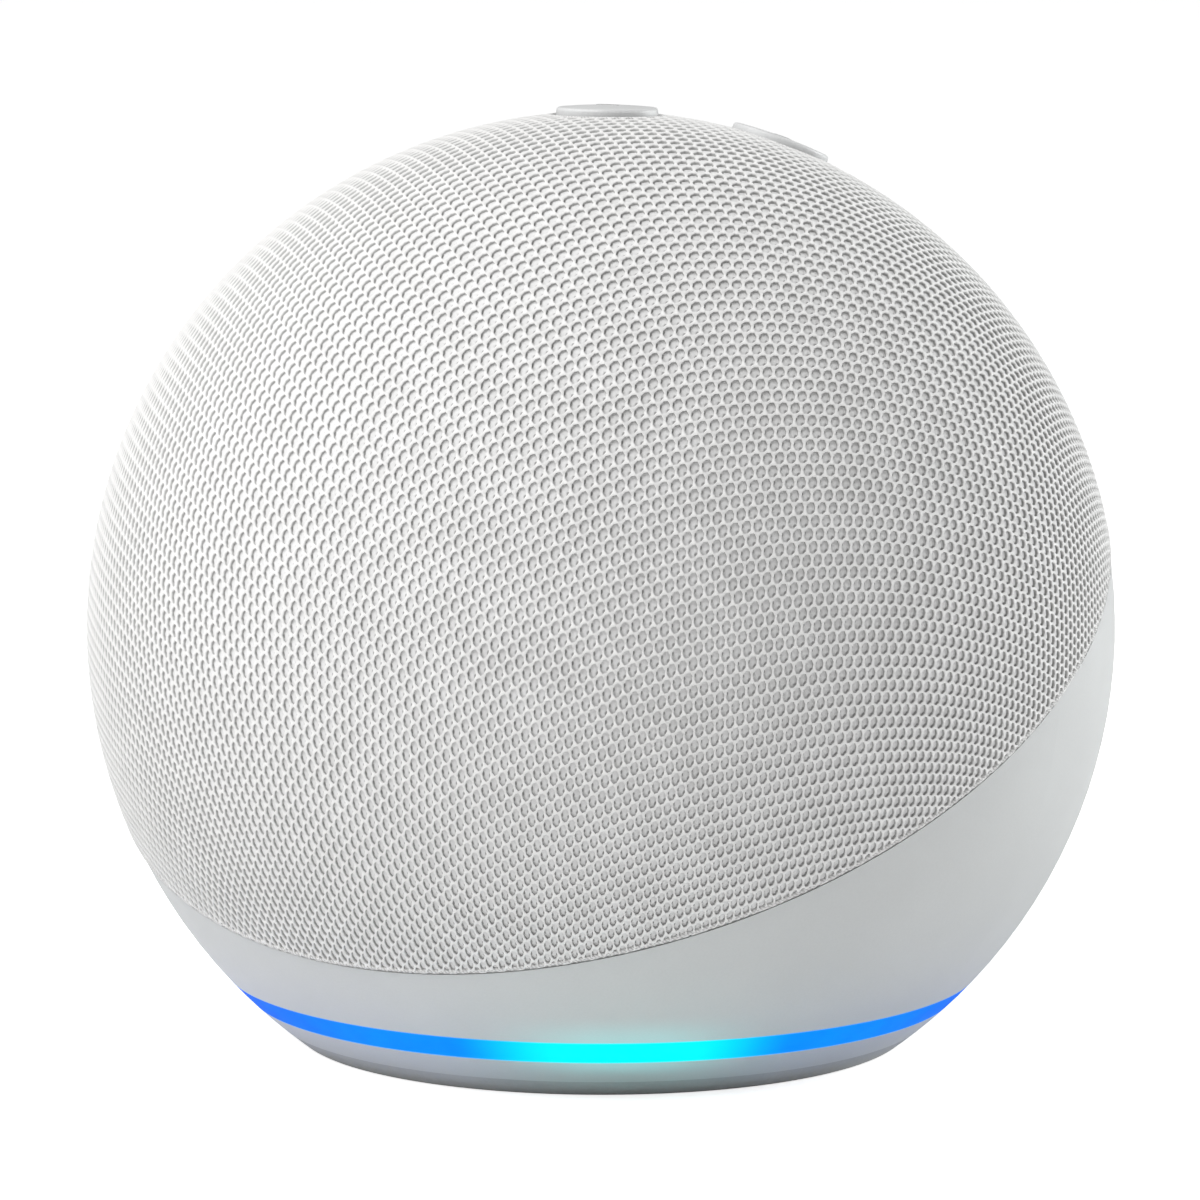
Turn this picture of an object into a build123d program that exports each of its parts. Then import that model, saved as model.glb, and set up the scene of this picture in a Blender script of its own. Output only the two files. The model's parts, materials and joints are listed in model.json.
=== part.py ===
from build123d import *
import os
from math import asin, cos, radians, sin, sqrt, tan

# A ball-shaped smart speaker that stands on a flat base. The front faces -Y and +Z is up.
# The origin is the centre of the base, on the surface that the speaker stands on.

# ---------------------------------------------------------------- driving dimensions (mm, degrees)
BODY_DIAMETER = 99.5          # over the fabric
BASE_DIAMETER = 59.0          # flat circle that the speaker stands on
SEAM_TILT = 29.5              # the fabric ends in a plane that drops towards the front
SEAM_DROP = 2.6               # that plane passes this far under the ball's centre
FABRIC_THICKNESS = 0.7
FABRIC_PROUD = 0.25           # the fabric stands this far above the plastic
FABRIC_EDGE_GAP = 0.3         # shadow gap between fabric edge and plastic
SHELL_GAP = 0.1               # between nested shells
GRILLE_WALL = 1.6
HOUSING_WALL = 2.2
TONGUE_WALL = 1.3
TONGUE_REACH = 3.0            # the lower housing's tongue, each side of the seam

FOOT_HEIGHT = 1.7
FOOT_INNER_DIAMETER = 42.0
FOOT_EDGE = 0.4
BASE_BAND = 2.35
RING_BAND = 2.4
RING_DEPTH = 3.3
GUIDE_WALL = 2.0              # light guide that stands up inside the ring
GUIDE_RISE = 1.2
LED_GAP = 0.4
LED_SIZE = 1.6
LED_HEIGHT = 0.6
LED_COUNT = 24

BUTTON_DIAMETER = 9.8
BUTTON_PROUD = 0.6
BUTTON_TRAVEL = 0.3
BUTTON_CLEARANCE = 0.3
BUTTON_FLANGE = 1.1           # retaining flange, beyond the button's side
BUTTON_FLANGE_HEIGHT = 0.8
BUTTON_EDGE = 0.35
BUTTON_STEM_DIAMETER = 3.4
CLUSTER_TILT = 15.5           # the four buttons' common axis leans to the back
BUTTON_SPREAD = 14.4          # angle from that axis to each button's own axis
MOVING_GAP = 0.3              # air between a moving piece and what it passes

KEYPAD_POST_DIAMETER = 4.8
KEYPAD_RIM = 0.4              # the guide reaches this far past its posts
KEYPAD_GUIDE_THICKNESS = 1.4
KEYPAD_BOARD_THICKNESS = 1.2
SWITCH_SIZE = 4.6
SWITCH_BODY_HEIGHT = 1.0
SWITCH_PLUNGER_DIAMETER = 2.0
SWITCH_HEIGHT = 1.4
MICROPHONE_LENGTH = 3.8
MICROPHONE_WIDTH = 2.9
MICROPHONE_HEIGHT = 1.0
MICROPHONE_PORT = 1.2
MICROPHONE_GAP = 1.9          # between a switch and the microphone beyond it

SCREW_DIAMETER = 2.2
SCREW_HEAD_DIAMETER = 4.2
SCREW_HEAD_HEIGHT = 1.2
SCREW_CLEARANCE = 0.3
SCREW_SOCKET = 1.6            # hexagonal socket, across corners
SCREW_BITE = 4.0              # depth of thread in a boss

BOSS_DIAMETER = 5.2
BOSS_HEIGHT = 16.0
RIB_WALL = 2.0
BOARD_GAP = 0.4               # around a circuit board
LED_BOARD_THICKNESS = 1.0
MAIN_BOARD_THICKNESS = 1.6
SUPPORT_WALL = 1.6
POST_DIAMETER = 5.2
TONGUE_BOARD_WIDTH = 14.0     # the main board's tongue, under the power jack
CONNECTOR_HEIGHT = 0.8
CONNECTOR_LENGTH = 8.0
CONNECTOR_WIDTH = 2.4
SHIELD_LENGTH = 24.0
SHIELD_CLEARANCE = 2.2        # between the shield can and the spreader's posts
SHIELD_HEIGHT = 2.0
SHIELD_WALL = 0.3
PAD_MARGIN = 1.5
PAD_THICKNESS = 1.0
SPREADER_THICKNESS = 2.0

INLET_BORE = 10.4
INLET_WALL = 1.4
INLET_WELL = 6.5              # full-circle depth of the inlet's well
INLET_FLANGE = 1.6
JACK_WIDTH = 9.0
JACK_DEPTH = 12.0
JACK_MARGIN = 2.4             # the jack is lower than the well is wide by this
JACK_BORE = 4.4
JACK_BORE_DEPTH = 9.0
JACK_PIN = 1.3

DRIVER_RISE = 5.25            # driver axis above the ball's centre
BAFFLE_DIAMETER = 62.0
BAFFLE_THICKNESS = 2.5
BAFFLE_CLEARANCE = 0.9        # between the baffle's rim and the grille
GASKET_WALL = 3.5
GASKET_THICKNESS = 0.8
CUP_DIAMETER = 48.0
CUP_WALL = 2.0
CUP_FLANGE = 2.4
CUP_DEPTH = 49.0
CUP_SCREW_CIRCLE = 56.0
CUP_BOSS_DIAMETER = 6.0
BASKET_RIM_DIAMETER = 48.0
BASKET_RIM = 1.5
BASKET_BODY_DIAMETER = 40.2
BASKET_WALL = 1.3
BASKET_DEPTH = 12.0
BASKET_REAR_DIAMETER = 28.4
BASKET_HOLE_DIAMETER = 17.0
BASKET_WINDOWS = 6
BASKET_WINDOW_WIDTH = 9.5
DRIVER_SCREW_CIRCLE = 44.4
TOP_PLATE_DIAMETER = 24.0
TOP_PLATE_THICKNESS = 2.5
POLE_DIAMETER = 12.4
COIL_WALL = 0.5
COIL_LENGTH = 10.6
COIL_OVERHANG = 1.5
MAGNET_DIAMETER = 30.0
MAGNET_BORE = 17.0
MAGNET_THICKNESS = 7.0
YOKE_DIAMETER = 27.0
YOKE_THICKNESS = 2.5
CONE_WALL = 0.5
CONE_EDGE_DIAMETER = 30.0
SURROUND_ROLL = 3.7
SURROUND_LIP = 1.4
SURROUND_WALL = 0.5
SPIDER_WALL = 0.4
SPIDER_DEPTH = 8.5
SPIDER_WAVE = 0.5
SPIDER_LIFTS = (0, 1, 0, -1, 0, 1, 0)
DUST_CAP_DIAMETER = 16.4
DUST_CAP_RISE = 2.4
DUST_CAP_WALL = 0.4

GRILLE_HOLE = 3.6
GRILLE_PITCH = 5.4
GRILLE_RINGS = 4

TERMINAL_SIZE = 6.2
TERMINAL_THICKNESS = 1.0
LEAD_DIAMETER = 1.2
LEAD_SPACING = 1.6
LEAD_OFFSET = 11.0            # the leads run this far to the left of the middle
LEAD_BEND = 5.0
GROMMET_DIAMETER = 5.2
GROMMET_LIP = 1.0
GROMMET_MARGIN = 2.0          # between the grommet and the cup's side
FLEX_WIDTH = 4.0
FLEX_THICKNESS = 0.3
FLEX_OFFSET = 7.2            # the keypad's flex runs this far to the right of the middle
FLEX_BEND = 3.0
FLEX_START_OFFSET = 8.2       # the flex leaves the keypad board this far behind its middle
REAR_DROP_GAP = 7.2           # leads and flex drop this far behind their connectors

# ---------------------------------------------------------------- the ball and its planes
BODY_RADIUS = BODY_DIAMETER / 2
HOUSING_RADIUS = BODY_RADIUS - FABRIC_PROUD
HOUSING_INNER = HOUSING_RADIUS - HOUSING_WALL
FABRIC_INNER = BODY_RADIUS - FABRIC_THICKNESS
GRILLE_RADIUS = FABRIC_INNER - SHELL_GAP / 2
GRILLE_INNER = GRILLE_RADIUS - GRILLE_WALL
TONGUE_RADIUS = GRILLE_INNER - SHELL_GAP
TONGUE_INNER = TONGUE_RADIUS - TONGUE_WALL
CENTRE_Z = sqrt(HOUSING_RADIUS**2 - (BASE_DIAMETER / 2) ** 2)
CENTRE = Vector(0, 0, CENTRE_Z)

SEAM_NORMAL = Vector(0, -sin(radians(SEAM_TILT)), cos(radians(SEAM_TILT)))
SEAM = Plane(origin=CENTRE - SEAM_NORMAL * SEAM_DROP, x_dir=(1, 0, 0), z_dir=SEAM_NORMAL)

KEYPAD_AXIS = Vector(0, sin(radians(CLUSTER_TILT)), cos(radians(CLUSTER_TILT)))
KEYPAD = Plane(origin=CENTRE, x_dir=(1, 0, 0), z_dir=KEYPAD_AXIS)

# Levels above the standing surface.
BASE_TOP = FOOT_HEIGHT + BASE_BAND
RING_TOP = BASE_TOP + RING_BAND
LED_BOARD_Z = RING_TOP + GUIDE_RISE + LED_GAP + LED_HEIGHT
MAIN_BOARD_Z = LED_BOARD_Z + LED_BOARD_THICKNESS + CONNECTOR_HEIGHT
BOARD_TOP = MAIN_BOARD_Z + MAIN_BOARD_THICKNESS
SHIELD_TOP = BOARD_TOP + SHIELD_HEIGHT
SPREADER_Z = SHIELD_TOP + PAD_THICKNESS
SPREADER_TOP = SPREADER_Z + SPREADER_THICKNESS
JACK_HEIGHT = INLET_BORE - JACK_MARGIN
INLET_Z = BOARD_TOP + JACK_HEIGHT / 2


def ball_width(z, radius):
    """Radius of the level circle at height z on a ball of the given radius."""
    return sqrt(radius**2 - (z - CENTRE_Z) ** 2)


# Radii in plan, from the outside in.
RING_INNER = ball_width(BASE_TOP, HOUSING_RADIUS) - RING_DEPTH
LED_CIRCLE = RING_INNER + GUIDE_WALL / 2
BOSS_CIRCLE = RING_INNER - BOSS_DIAMETER / 2 - 2 * BOARD_GAP
MAIN_BOARD_RADIUS = BOSS_CIRCLE - BOSS_DIAMETER / 2 - BOARD_GAP
LED_BOARD_INNER = MAIN_BOARD_RADIUS - SUPPORT_WALL
POST_CIRCLE = LED_BOARD_INNER - POST_DIAMETER / 2 - 2 * BOARD_GAP
SPREADER_RADIUS = POST_CIRCLE + POST_DIAMETER / 2 + BOARD_GAP
SHIELD_WIDTH = sqrt(2) * POST_CIRCLE - POST_DIAMETER - 2 * SHIELD_CLEARANCE
CONNECTOR_Y = POST_CIRCLE / sqrt(2) + POST_DIAMETER / 2 + BOARD_GAP + CONNECTOR_WIDTH
REAR_DROP_Y = CONNECTOR_Y + REAR_DROP_GAP

# The power inlet, on the back.
WELL_MOUTH_Y = ball_width(INLET_Z - INLET_BORE / 2, HOUSING_RADIUS)
JACK_FACE_Y = WELL_MOUTH_Y - INLET_WELL
INLET_PLANE = Plane(origin=(0, JACK_FACE_Y, INLET_Z), x_dir=(1, 0, 0), z_dir=(0, 1, 0))
INLET_RADIUS = INLET_BORE / 2 + INLET_WALL

# The driver: heights along its axis count forward from the baffle's front face.
DRIVER_Z = CENTRE_Z + DRIVER_RISE
BAFFLE_Y = -sqrt(GRILLE_INNER**2 - (BAFFLE_DIAMETER / 2 + DRIVER_RISE + BAFFLE_CLEARANCE) ** 2)
DRIVER_ORIGIN = Vector(0, BAFFLE_Y, DRIVER_Z)
DRIVER = Plane(origin=DRIVER_ORIGIN, x_dir=(1, 0, 0), z_dir=(0, -1, 0))
DRIVER_SECTION = Plane(origin=DRIVER_ORIGIN, x_dir=(1, 0, 0), z_dir=(0, 0, -1))
DRIVER_AXIS = Axis(DRIVER_ORIGIN, (0, -1, 0))
CUP_FRONT = -BAFFLE_THICKNESS - GASKET_THICKNESS
CUP_REAR_Y = BAFFLE_Y + CUP_DEPTH
COIL_RADIUS = POLE_DIAMETER / 2 + MOVING_GAP
COIL_OUTER = COIL_RADIUS + COIL_WALL
MAGNET_FRONT = -BASKET_DEPTH - TOP_PLATE_THICKNESS
YOKE_FRONT = MAGNET_FRONT - MAGNET_THICKNESS

# The keypad: heights along its axis count from the ball's centre.
BUTTON_TOP = BODY_RADIUS + BUTTON_PROUD
BUTTON_HOLE = BUTTON_DIAMETER / 2 + BUTTON_CLEARANCE
FLANGE_RADIUS = BUTTON_DIAMETER / 2 + BUTTON_FLANGE
FLANGE_TOP = sqrt(GRILLE_INNER**2 - FLANGE_RADIUS**2) - SHELL_GAP
FLANGE_BOTTOM = FLANGE_TOP - BUTTON_FLANGE_HEIGHT
SPREAD = radians(BUTTON_SPREAD)
FLANGE_LOW = FLANGE_BOTTOM * cos(SPREAD) - FLANGE_RADIUS * sin(SPREAD) - BUTTON_TRAVEL
GUIDE_TOP = FLANGE_LOW - MOVING_GAP
GUIDE_BOTTOM = GUIDE_TOP - KEYPAD_GUIDE_THICKNESS
STEM_END = GUIDE_BOTTOM - MOVING_GAP
SWITCH_TOP = STEM_END - BUTTON_TRAVEL - MOVING_GAP / 2
KEYPAD_BOARD_TOP = SWITCH_TOP - SWITCH_HEIGHT
KEYPAD_BOARD_BOTTOM = KEYPAD_BOARD_TOP - KEYPAD_BOARD_THICKNESS
SWITCH_CIRCLE = SWITCH_TOP * tan(SPREAD)
KEYPAD_POST_CIRCLE = 2 * (SWITCH_CIRCLE + MICROPHONE_GAP) + SWITCH_SIZE + MICROPHONE_LENGTH
KEYPAD_DIAMETER = KEYPAD_POST_CIRCLE + KEYPAD_POST_DIAMETER + 2 * KEYPAD_RIM
KEYPAD_BITE = sqrt(GRILLE_INNER**2 - (KEYPAD_POST_CIRCLE / 2) ** 2)

BUTTONS = {"action_button": 0, "volume_up_button": 90, "microphone_button": 180, "volume_down_button": 270}
PILOT = SCREW_DIAMETER / 2
PASSING = SCREW_DIAMETER / 2 + SCREW_CLEARANCE


def button_plane(around):
    """Plane at the ball's centre whose normal is the axis of the button at this angle round the keypad."""
    outward = Vector(1, 0, 0) * cos(radians(around)) + KEYPAD.y_dir * sin(radians(around))
    normal = KEYPAD_AXIS * cos(SPREAD) + outward * sin(SPREAD)
    tangent = KEYPAD.y_dir * cos(radians(around)) - Vector(1, 0, 0) * sin(radians(around))
    return Plane(origin=CENTRE, x_dir=tangent, z_dir=normal)


def diagonal_spots(circle_radius):
    """Four points on the diagonals of a plane."""
    half = circle_radius / sqrt(2)
    return [(half, half), (-half, half), (-half, -half), (half, -half)]


def finish(part, label):
    """Name a finished piece and write it."""
    part.label = label
    export_step(part, f"parts/{label}.step")


def make_screws(label, seat, spots, shank_length):
    """Socket-head screws whose heads stand on the plane seat, with their shanks behind it."""
    with BuildPart() as screws:
        with BuildSketch(seat):
            with Locations(*spots):
                Circle(SCREW_HEAD_DIAMETER / 2)
        extrude(amount=SCREW_HEAD_HEIGHT)
        with BuildSketch(seat):
            with Locations(*spots):
                Circle(SCREW_DIAMETER / 2)
        extrude(amount=-shank_length)
        with BuildSketch(seat.offset(SCREW_HEAD_HEIGHT)):
            with Locations(*spots):
                RegularPolygon(SCREW_SOCKET / 2, 6)
        extrude(amount=-SCREW_HEAD_HEIGHT / 2, mode=Mode.SUBTRACT)
    finish(screws.part, label)


os.makedirs("parts", exist_ok=True)

# ---------------------------------------------------------------- outer shells
with BuildPart() as fabric_cover:
    with Locations(CENTRE):
        Sphere(BODY_RADIUS)
        Sphere(FABRIC_INNER, mode=Mode.SUBTRACT)
    split(bisect_by=SEAM.offset(FABRIC_EDGE_GAP), keep=Keep.TOP)
    for around in BUTTONS.values():
        with BuildSketch(button_plane(around)):
            Circle(BUTTON_HOLE)
        extrude(amount=BUTTON_TOP, mode=Mode.SUBTRACT)
finish(fabric_cover.part, "fabric_cover")

with BuildPart() as grille_bosses:
    with BuildSketch(DRIVER):
        with Locations(*diagonal_spots(CUP_SCREW_CIRCLE / 2)):
            Circle(CUP_BOSS_DIAMETER / 2)
    extrude(amount=BODY_RADIUS)
    with BuildSketch(KEYPAD.offset(GUIDE_TOP)):
        with Locations(*diagonal_spots(KEYPAD_POST_CIRCLE / 2)):
            Circle(KEYPAD_POST_DIAMETER / 2)
    extrude(amount=BODY_RADIUS - GUIDE_TOP)
    with Locations(CENTRE):
        Sphere(GRILLE_INNER + GRILLE_WALL / 2, mode=Mode.INTERSECT)

with BuildPart() as grille_shell:
    with Locations(CENTRE):
        Sphere(GRILLE_RADIUS)
        Sphere(GRILLE_INNER, mode=Mode.SUBTRACT)
    split(bisect_by=SEAM, keep=Keep.TOP)
    add(grille_bosses.part)
    # Button holes, and the sound ports of the microphones.
    for around in BUTTONS.values():
        with BuildSketch(button_plane(around)):
            Circle(BUTTON_HOLE)
        extrude(amount=BUTTON_TOP, mode=Mode.SUBTRACT)
    with BuildSketch(KEYPAD.offset(GUIDE_TOP)):
        with PolarLocations(KEYPAD_POST_CIRCLE / 2, 4):
            Circle(MICROPHONE_PORT / 2)
    extrude(amount=BODY_RADIUS, mode=Mode.SUBTRACT)
    # Blind screw holes in the bosses.
    with BuildSketch(DRIVER):
        with Locations(*diagonal_spots(CUP_SCREW_CIRCLE / 2)):
            Circle(PILOT)
    extrude(amount=SCREW_BITE, mode=Mode.SUBTRACT)
    with BuildSketch(KEYPAD.offset(GUIDE_TOP)):
        with Locations(*diagonal_spots(KEYPAD_POST_CIRCLE / 2)):
            Circle(PILOT)
    extrude(amount=KEYPAD_BITE - GUIDE_TOP, mode=Mode.SUBTRACT)
    # Rings of sound holes in front of the driver.
    with BuildSketch(DRIVER):
        Circle(GRILLE_HOLE / 2)
        for ring in range(1, GRILLE_RINGS + 1):
            with PolarLocations(ring * GRILLE_PITCH, 6 * ring):
                Circle(GRILLE_HOLE / 2)
    extrude(amount=BODY_RADIUS, mode=Mode.SUBTRACT)
finish(grille_shell.part, "grille_shell")

with BuildPart() as seam_tongue:
    with Locations(CENTRE):
        Sphere(TONGUE_RADIUS)
        Sphere(TONGUE_INNER, mode=Mode.SUBTRACT)
    split(bisect_by=SEAM.offset(TONGUE_REACH), keep=Keep.BOTTOM)
    split(bisect_by=SEAM.offset(-TONGUE_REACH), keep=Keep.TOP)

with BuildPart() as housing_bosses:
    with BuildSketch(Plane.XY.offset(BASE_TOP)):
        with Locations(*diagonal_spots(BOSS_CIRCLE)):
            Circle(BOSS_DIAMETER / 2)
    extrude(amount=BOSS_HEIGHT)
    with BuildSketch(Plane.XY.offset(MAIN_BOARD_Z)):
        with PolarLocations(BOSS_CIRCLE, 4, start_angle=45):
            Rectangle(BODY_RADIUS, RIB_WALL, align=(Align.MIN, Align.CENTER))
    extrude(amount=BASE_TOP + BOSS_HEIGHT - MAIN_BOARD_Z)
    with Locations(CENTRE):
        Sphere(HOUSING_INNER + HOUSING_WALL / 2, mode=Mode.INTERSECT)
    split(bisect_by=SEAM, keep=Keep.BOTTOM)

with BuildPart() as lower_housing:
    with Locations(CENTRE):
        Sphere(HOUSING_RADIUS)
        Sphere(HOUSING_INNER, mode=Mode.SUBTRACT)
    split(bisect_by=SEAM, keep=Keep.BOTTOM)
    split(bisect_by=Plane.XY.offset(RING_TOP), keep=Keep.TOP)
    add(seam_tongue.part)
    add(housing_bosses.part)
    with BuildSketch(Plane.XY.offset(BASE_TOP)):
        with Locations(*diagonal_spots(BOSS_CIRCLE)):
            Circle(PILOT)
    extrude(amount=SCREW_BITE + BASE_BAND, mode=Mode.SUBTRACT)
    with BuildSketch(INLET_PLANE):
        Circle(INLET_RADIUS + SHELL_GAP)
    extrude(amount=BODY_RADIUS, mode=Mode.SUBTRACT)
finish(lower_housing.part, "lower_housing")

# ---------------------------------------------------------------- base and light ring
with BuildPart() as light_ring:
    with Locations(CENTRE):
        Sphere(HOUSING_RADIUS)
    split(bisect_by=Plane.XY.offset(BASE_TOP), keep=Keep.TOP)
    split(bisect_by=Plane.XY.offset(RING_TOP), keep=Keep.BOTTOM)
    with BuildSketch(Plane.XY.offset(RING_TOP)):
        Circle(RING_INNER + GUIDE_WALL)
    extrude(amount=GUIDE_RISE)
    with BuildSketch(Plane.XY.offset(BASE_TOP)):
        Circle(RING_INNER)
    extrude(amount=RING_BAND + GUIDE_RISE, mode=Mode.SUBTRACT)
finish(light_ring.part, "light_ring")

with BuildPart() as base_plate:
    with Locations(CENTRE):
        Sphere(HOUSING_RADIUS)
    split(bisect_by=Plane.XY.offset(FOOT_HEIGHT), keep=Keep.TOP)
    split(bisect_by=Plane.XY.offset(BASE_TOP), keep=Keep.BOTTOM)
    with BuildSketch(Plane.XY.offset(BASE_TOP)):
        Circle(MAIN_BOARD_RADIUS)
        Circle(LED_BOARD_INNER, mode=Mode.SUBTRACT)
    extrude(amount=LED_BOARD_Z - BASE_TOP)
    with BuildSketch(Plane.XY.offset(BASE_TOP)):
        with Locations(*diagonal_spots(POST_CIRCLE)):
            Circle(POST_DIAMETER / 2)
    extrude(amount=MAIN_BOARD_Z - BASE_TOP)
    with BuildSketch(Plane.XY.offset(MAIN_BOARD_Z)):
        with Locations(*diagonal_spots(POST_CIRCLE)):
            Circle(PILOT)
    extrude(amount=-SCREW_BITE, mode=Mode.SUBTRACT)
    with Locations(*[(x, y, FOOT_HEIGHT) for x, y in diagonal_spots(BOSS_CIRCLE)]):
        Cylinder(PASSING, BASE_BAND, align=(Align.CENTER, Align.CENTER, Align.MIN), mode=Mode.SUBTRACT)
        Cylinder(
            SCREW_HEAD_DIAMETER / 2 + SCREW_CLEARANCE,
            SCREW_HEAD_HEIGHT,
            align=(Align.CENTER, Align.CENTER, Align.MIN),
            mode=Mode.SUBTRACT,
        )
finish(base_plate.part, "base_plate")

with BuildPart() as rubber_foot:
    with Locations(CENTRE):
        Sphere(HOUSING_RADIUS)
    split(bisect_by=Plane.XY, keep=Keep.TOP)
    split(bisect_by=Plane.XY.offset(FOOT_HEIGHT), keep=Keep.BOTTOM)
    with BuildSketch():
        Circle(FOOT_INNER_DIAMETER / 2)
    extrude(amount=FOOT_HEIGHT, mode=Mode.SUBTRACT)
    fillet(rubber_foot.faces().sort_by(Axis.Z)[0].edges(), FOOT_EDGE)
finish(rubber_foot.part, "rubber_foot")

make_screws(
    "base_screws",
    Plane(origin=(0, 0, FOOT_HEIGHT + SCREW_HEAD_HEIGHT), x_dir=(1, 0, 0), z_dir=(0, 0, -1)),
    diagonal_spots(BOSS_CIRCLE),
    BASE_BAND - SCREW_HEAD_HEIGHT + SCREW_BITE,
)

with BuildPart() as led_board:
    with BuildSketch(Plane.XY.offset(LED_BOARD_Z)):
        Circle(RING_INNER + GUIDE_WALL)
        Circle(LED_BOARD_INNER, mode=Mode.SUBTRACT)
        with Locations(*diagonal_spots(BOSS_CIRCLE)):
            Circle(BOSS_DIAMETER / 2 + BOARD_GAP, mode=Mode.SUBTRACT)
    extrude(amount=LED_BOARD_THICKNESS)
finish(led_board.part, "led_board")

with BuildPart() as leds:
    with BuildSketch(Plane.XY.offset(LED_BOARD_Z)):
        with PolarLocations(LED_CIRCLE, LED_COUNT):
            Rectangle(LED_SIZE, LED_SIZE)
    extrude(amount=-LED_HEIGHT)
finish(leds.part, "leds")

# ---------------------------------------------------------------- main board and power inlet
with BuildPart() as main_board:
    with BuildSketch(Plane.XY.offset(MAIN_BOARD_Z)):
        Circle(MAIN_BOARD_RADIUS)
        Rectangle(TONGUE_BOARD_WIDTH, JACK_FACE_Y - BOARD_GAP, align=(Align.CENTER, Align.MIN))
        with Locations(*diagonal_spots(POST_CIRCLE)):
            Circle(PASSING, mode=Mode.SUBTRACT)
    extrude(amount=MAIN_BOARD_THICKNESS)
finish(main_board.part, "main_board")

with BuildPart() as shield_can:
    with BuildSketch(Plane.XY.offset(BOARD_TOP)):
        Rectangle(SHIELD_LENGTH, SHIELD_WIDTH)
    extrude(amount=SHIELD_HEIGHT)
    offset(amount=-SHIELD_WALL, openings=shield_can.faces().sort_by(Axis.Z)[0])
finish(shield_can.part, "shield_can")

with BuildPart() as thermal_pad:
    with BuildSketch(Plane.XY.offset(SHIELD_TOP)):
        Rectangle(SHIELD_LENGTH - 2 * PAD_MARGIN, SHIELD_WIDTH - 2 * PAD_MARGIN)
    extrude(amount=PAD_THICKNESS)
finish(thermal_pad.part, "thermal_pad")

with BuildPart() as heat_spreader:
    with BuildSketch(Plane.XY.offset(SPREADER_Z)):
        Circle(SPREADER_RADIUS)
    extrude(amount=SPREADER_THICKNESS)
    with BuildSketch(Plane.XY.offset(BOARD_TOP)):
        with Locations(*diagonal_spots(POST_CIRCLE)):
            Circle(POST_DIAMETER / 2)
    extrude(amount=SPREADER_Z - BOARD_TOP)
    with BuildSketch(Plane.XY.offset(BOARD_TOP)):
        with Locations(*diagonal_spots(POST_CIRCLE)):
            Circle(PASSING)
        # Room for the power jack.
        with Locations((0, JACK_FACE_Y - JACK_DEPTH - BOARD_GAP)):
            Rectangle(JACK_WIDTH + 2 * BOARD_GAP, JACK_DEPTH, align=(Align.CENTER, Align.MIN))
    extrude(amount=SPREADER_TOP - BOARD_TOP, mode=Mode.SUBTRACT)
finish(heat_spreader.part, "heat_spreader")

make_screws(
    "board_screws",
    Plane.XY.offset(SPREADER_TOP),
    diagonal_spots(POST_CIRCLE),
    SPREADER_TOP - MAIN_BOARD_Z + SCREW_BITE,
)

with BuildPart() as power_jack:
    with Locations((0, JACK_FACE_Y, BOARD_TOP)):
        Box(JACK_WIDTH, JACK_DEPTH, JACK_HEIGHT, align=(Align.CENTER, Align.MAX, Align.MIN))
    with BuildSketch(INLET_PLANE):
        Circle(JACK_BORE / 2)
        Circle(JACK_PIN / 2, mode=Mode.SUBTRACT)
    extrude(amount=-JACK_BORE_DEPTH, mode=Mode.SUBTRACT)
finish(power_jack.part, "power_jack")

with BuildPart() as bezel_flange:
    with BuildSketch(INLET_PLANE):
        Circle(INLET_RADIUS + INLET_FLANGE)
    extrude(amount=BODY_RADIUS)
    with Locations(CENTRE):
        Sphere(HOUSING_INNER - SHELL_GAP, mode=Mode.INTERSECT)

with BuildPart() as inlet_bezel:
    with BuildSketch(INLET_PLANE):
        Circle(INLET_RADIUS)
    extrude(amount=BODY_RADIUS)
    with Locations(CENTRE):
        Sphere(HOUSING_RADIUS, mode=Mode.INTERSECT)
    add(bezel_flange.part)
    with BuildSketch(INLET_PLANE):
        Circle(INLET_BORE / 2)
    extrude(amount=BODY_RADIUS, mode=Mode.SUBTRACT)
finish(inlet_bezel.part, "inlet_bezel")

LED_LINK_Y = (LED_BOARD_INNER + RING_INNER) / 2
with BuildPart() as board_connectors:
    with BuildSketch(Plane.XY.offset(MAIN_BOARD_Z)):
        with Locations((0, LED_LINK_Y)):
            Rectangle(CONNECTOR_LENGTH, CONNECTOR_WIDTH)
    extrude(amount=-CONNECTOR_HEIGHT)
    with BuildSketch(Plane.XY.offset(BOARD_TOP)):
        with Locations((FLEX_OFFSET, CONNECTOR_Y), (-LEAD_OFFSET, CONNECTOR_Y)):
            Rectangle(FLEX_WIDTH, CONNECTOR_WIDTH, align=(Align.CENTER, Align.MAX))
    extrude(amount=SHIELD_HEIGHT)
finish(board_connectors.part, "board_connectors")

# ---------------------------------------------------------------- speaker enclosure
with BuildPart() as enclosure_front:
    with BuildSketch(DRIVER):
        Circle(BAFFLE_DIAMETER / 2)
        Circle(BASKET_BODY_DIAMETER / 2 + SCREW_CLEARANCE, mode=Mode.SUBTRACT)
        with Locations(*diagonal_spots(CUP_SCREW_CIRCLE / 2)):
            Circle(PASSING, mode=Mode.SUBTRACT)
        with PolarLocations(DRIVER_SCREW_CIRCLE / 2, 4):
            Circle(PILOT, mode=Mode.SUBTRACT)
    extrude(amount=-BAFFLE_THICKNESS)
finish(enclosure_front.part, "enclosure_front")

with BuildPart() as enclosure_gasket:
    with BuildSketch(DRIVER.offset(-BAFFLE_THICKNESS)):
        Circle(CUP_DIAMETER / 2 - CUP_WALL + GASKET_WALL)
        Circle(CUP_DIAMETER / 2 - CUP_WALL, mode=Mode.SUBTRACT)
    extrude(amount=-GASKET_THICKNESS)
finish(enclosure_gasket.part, "enclosure_gasket")

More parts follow.
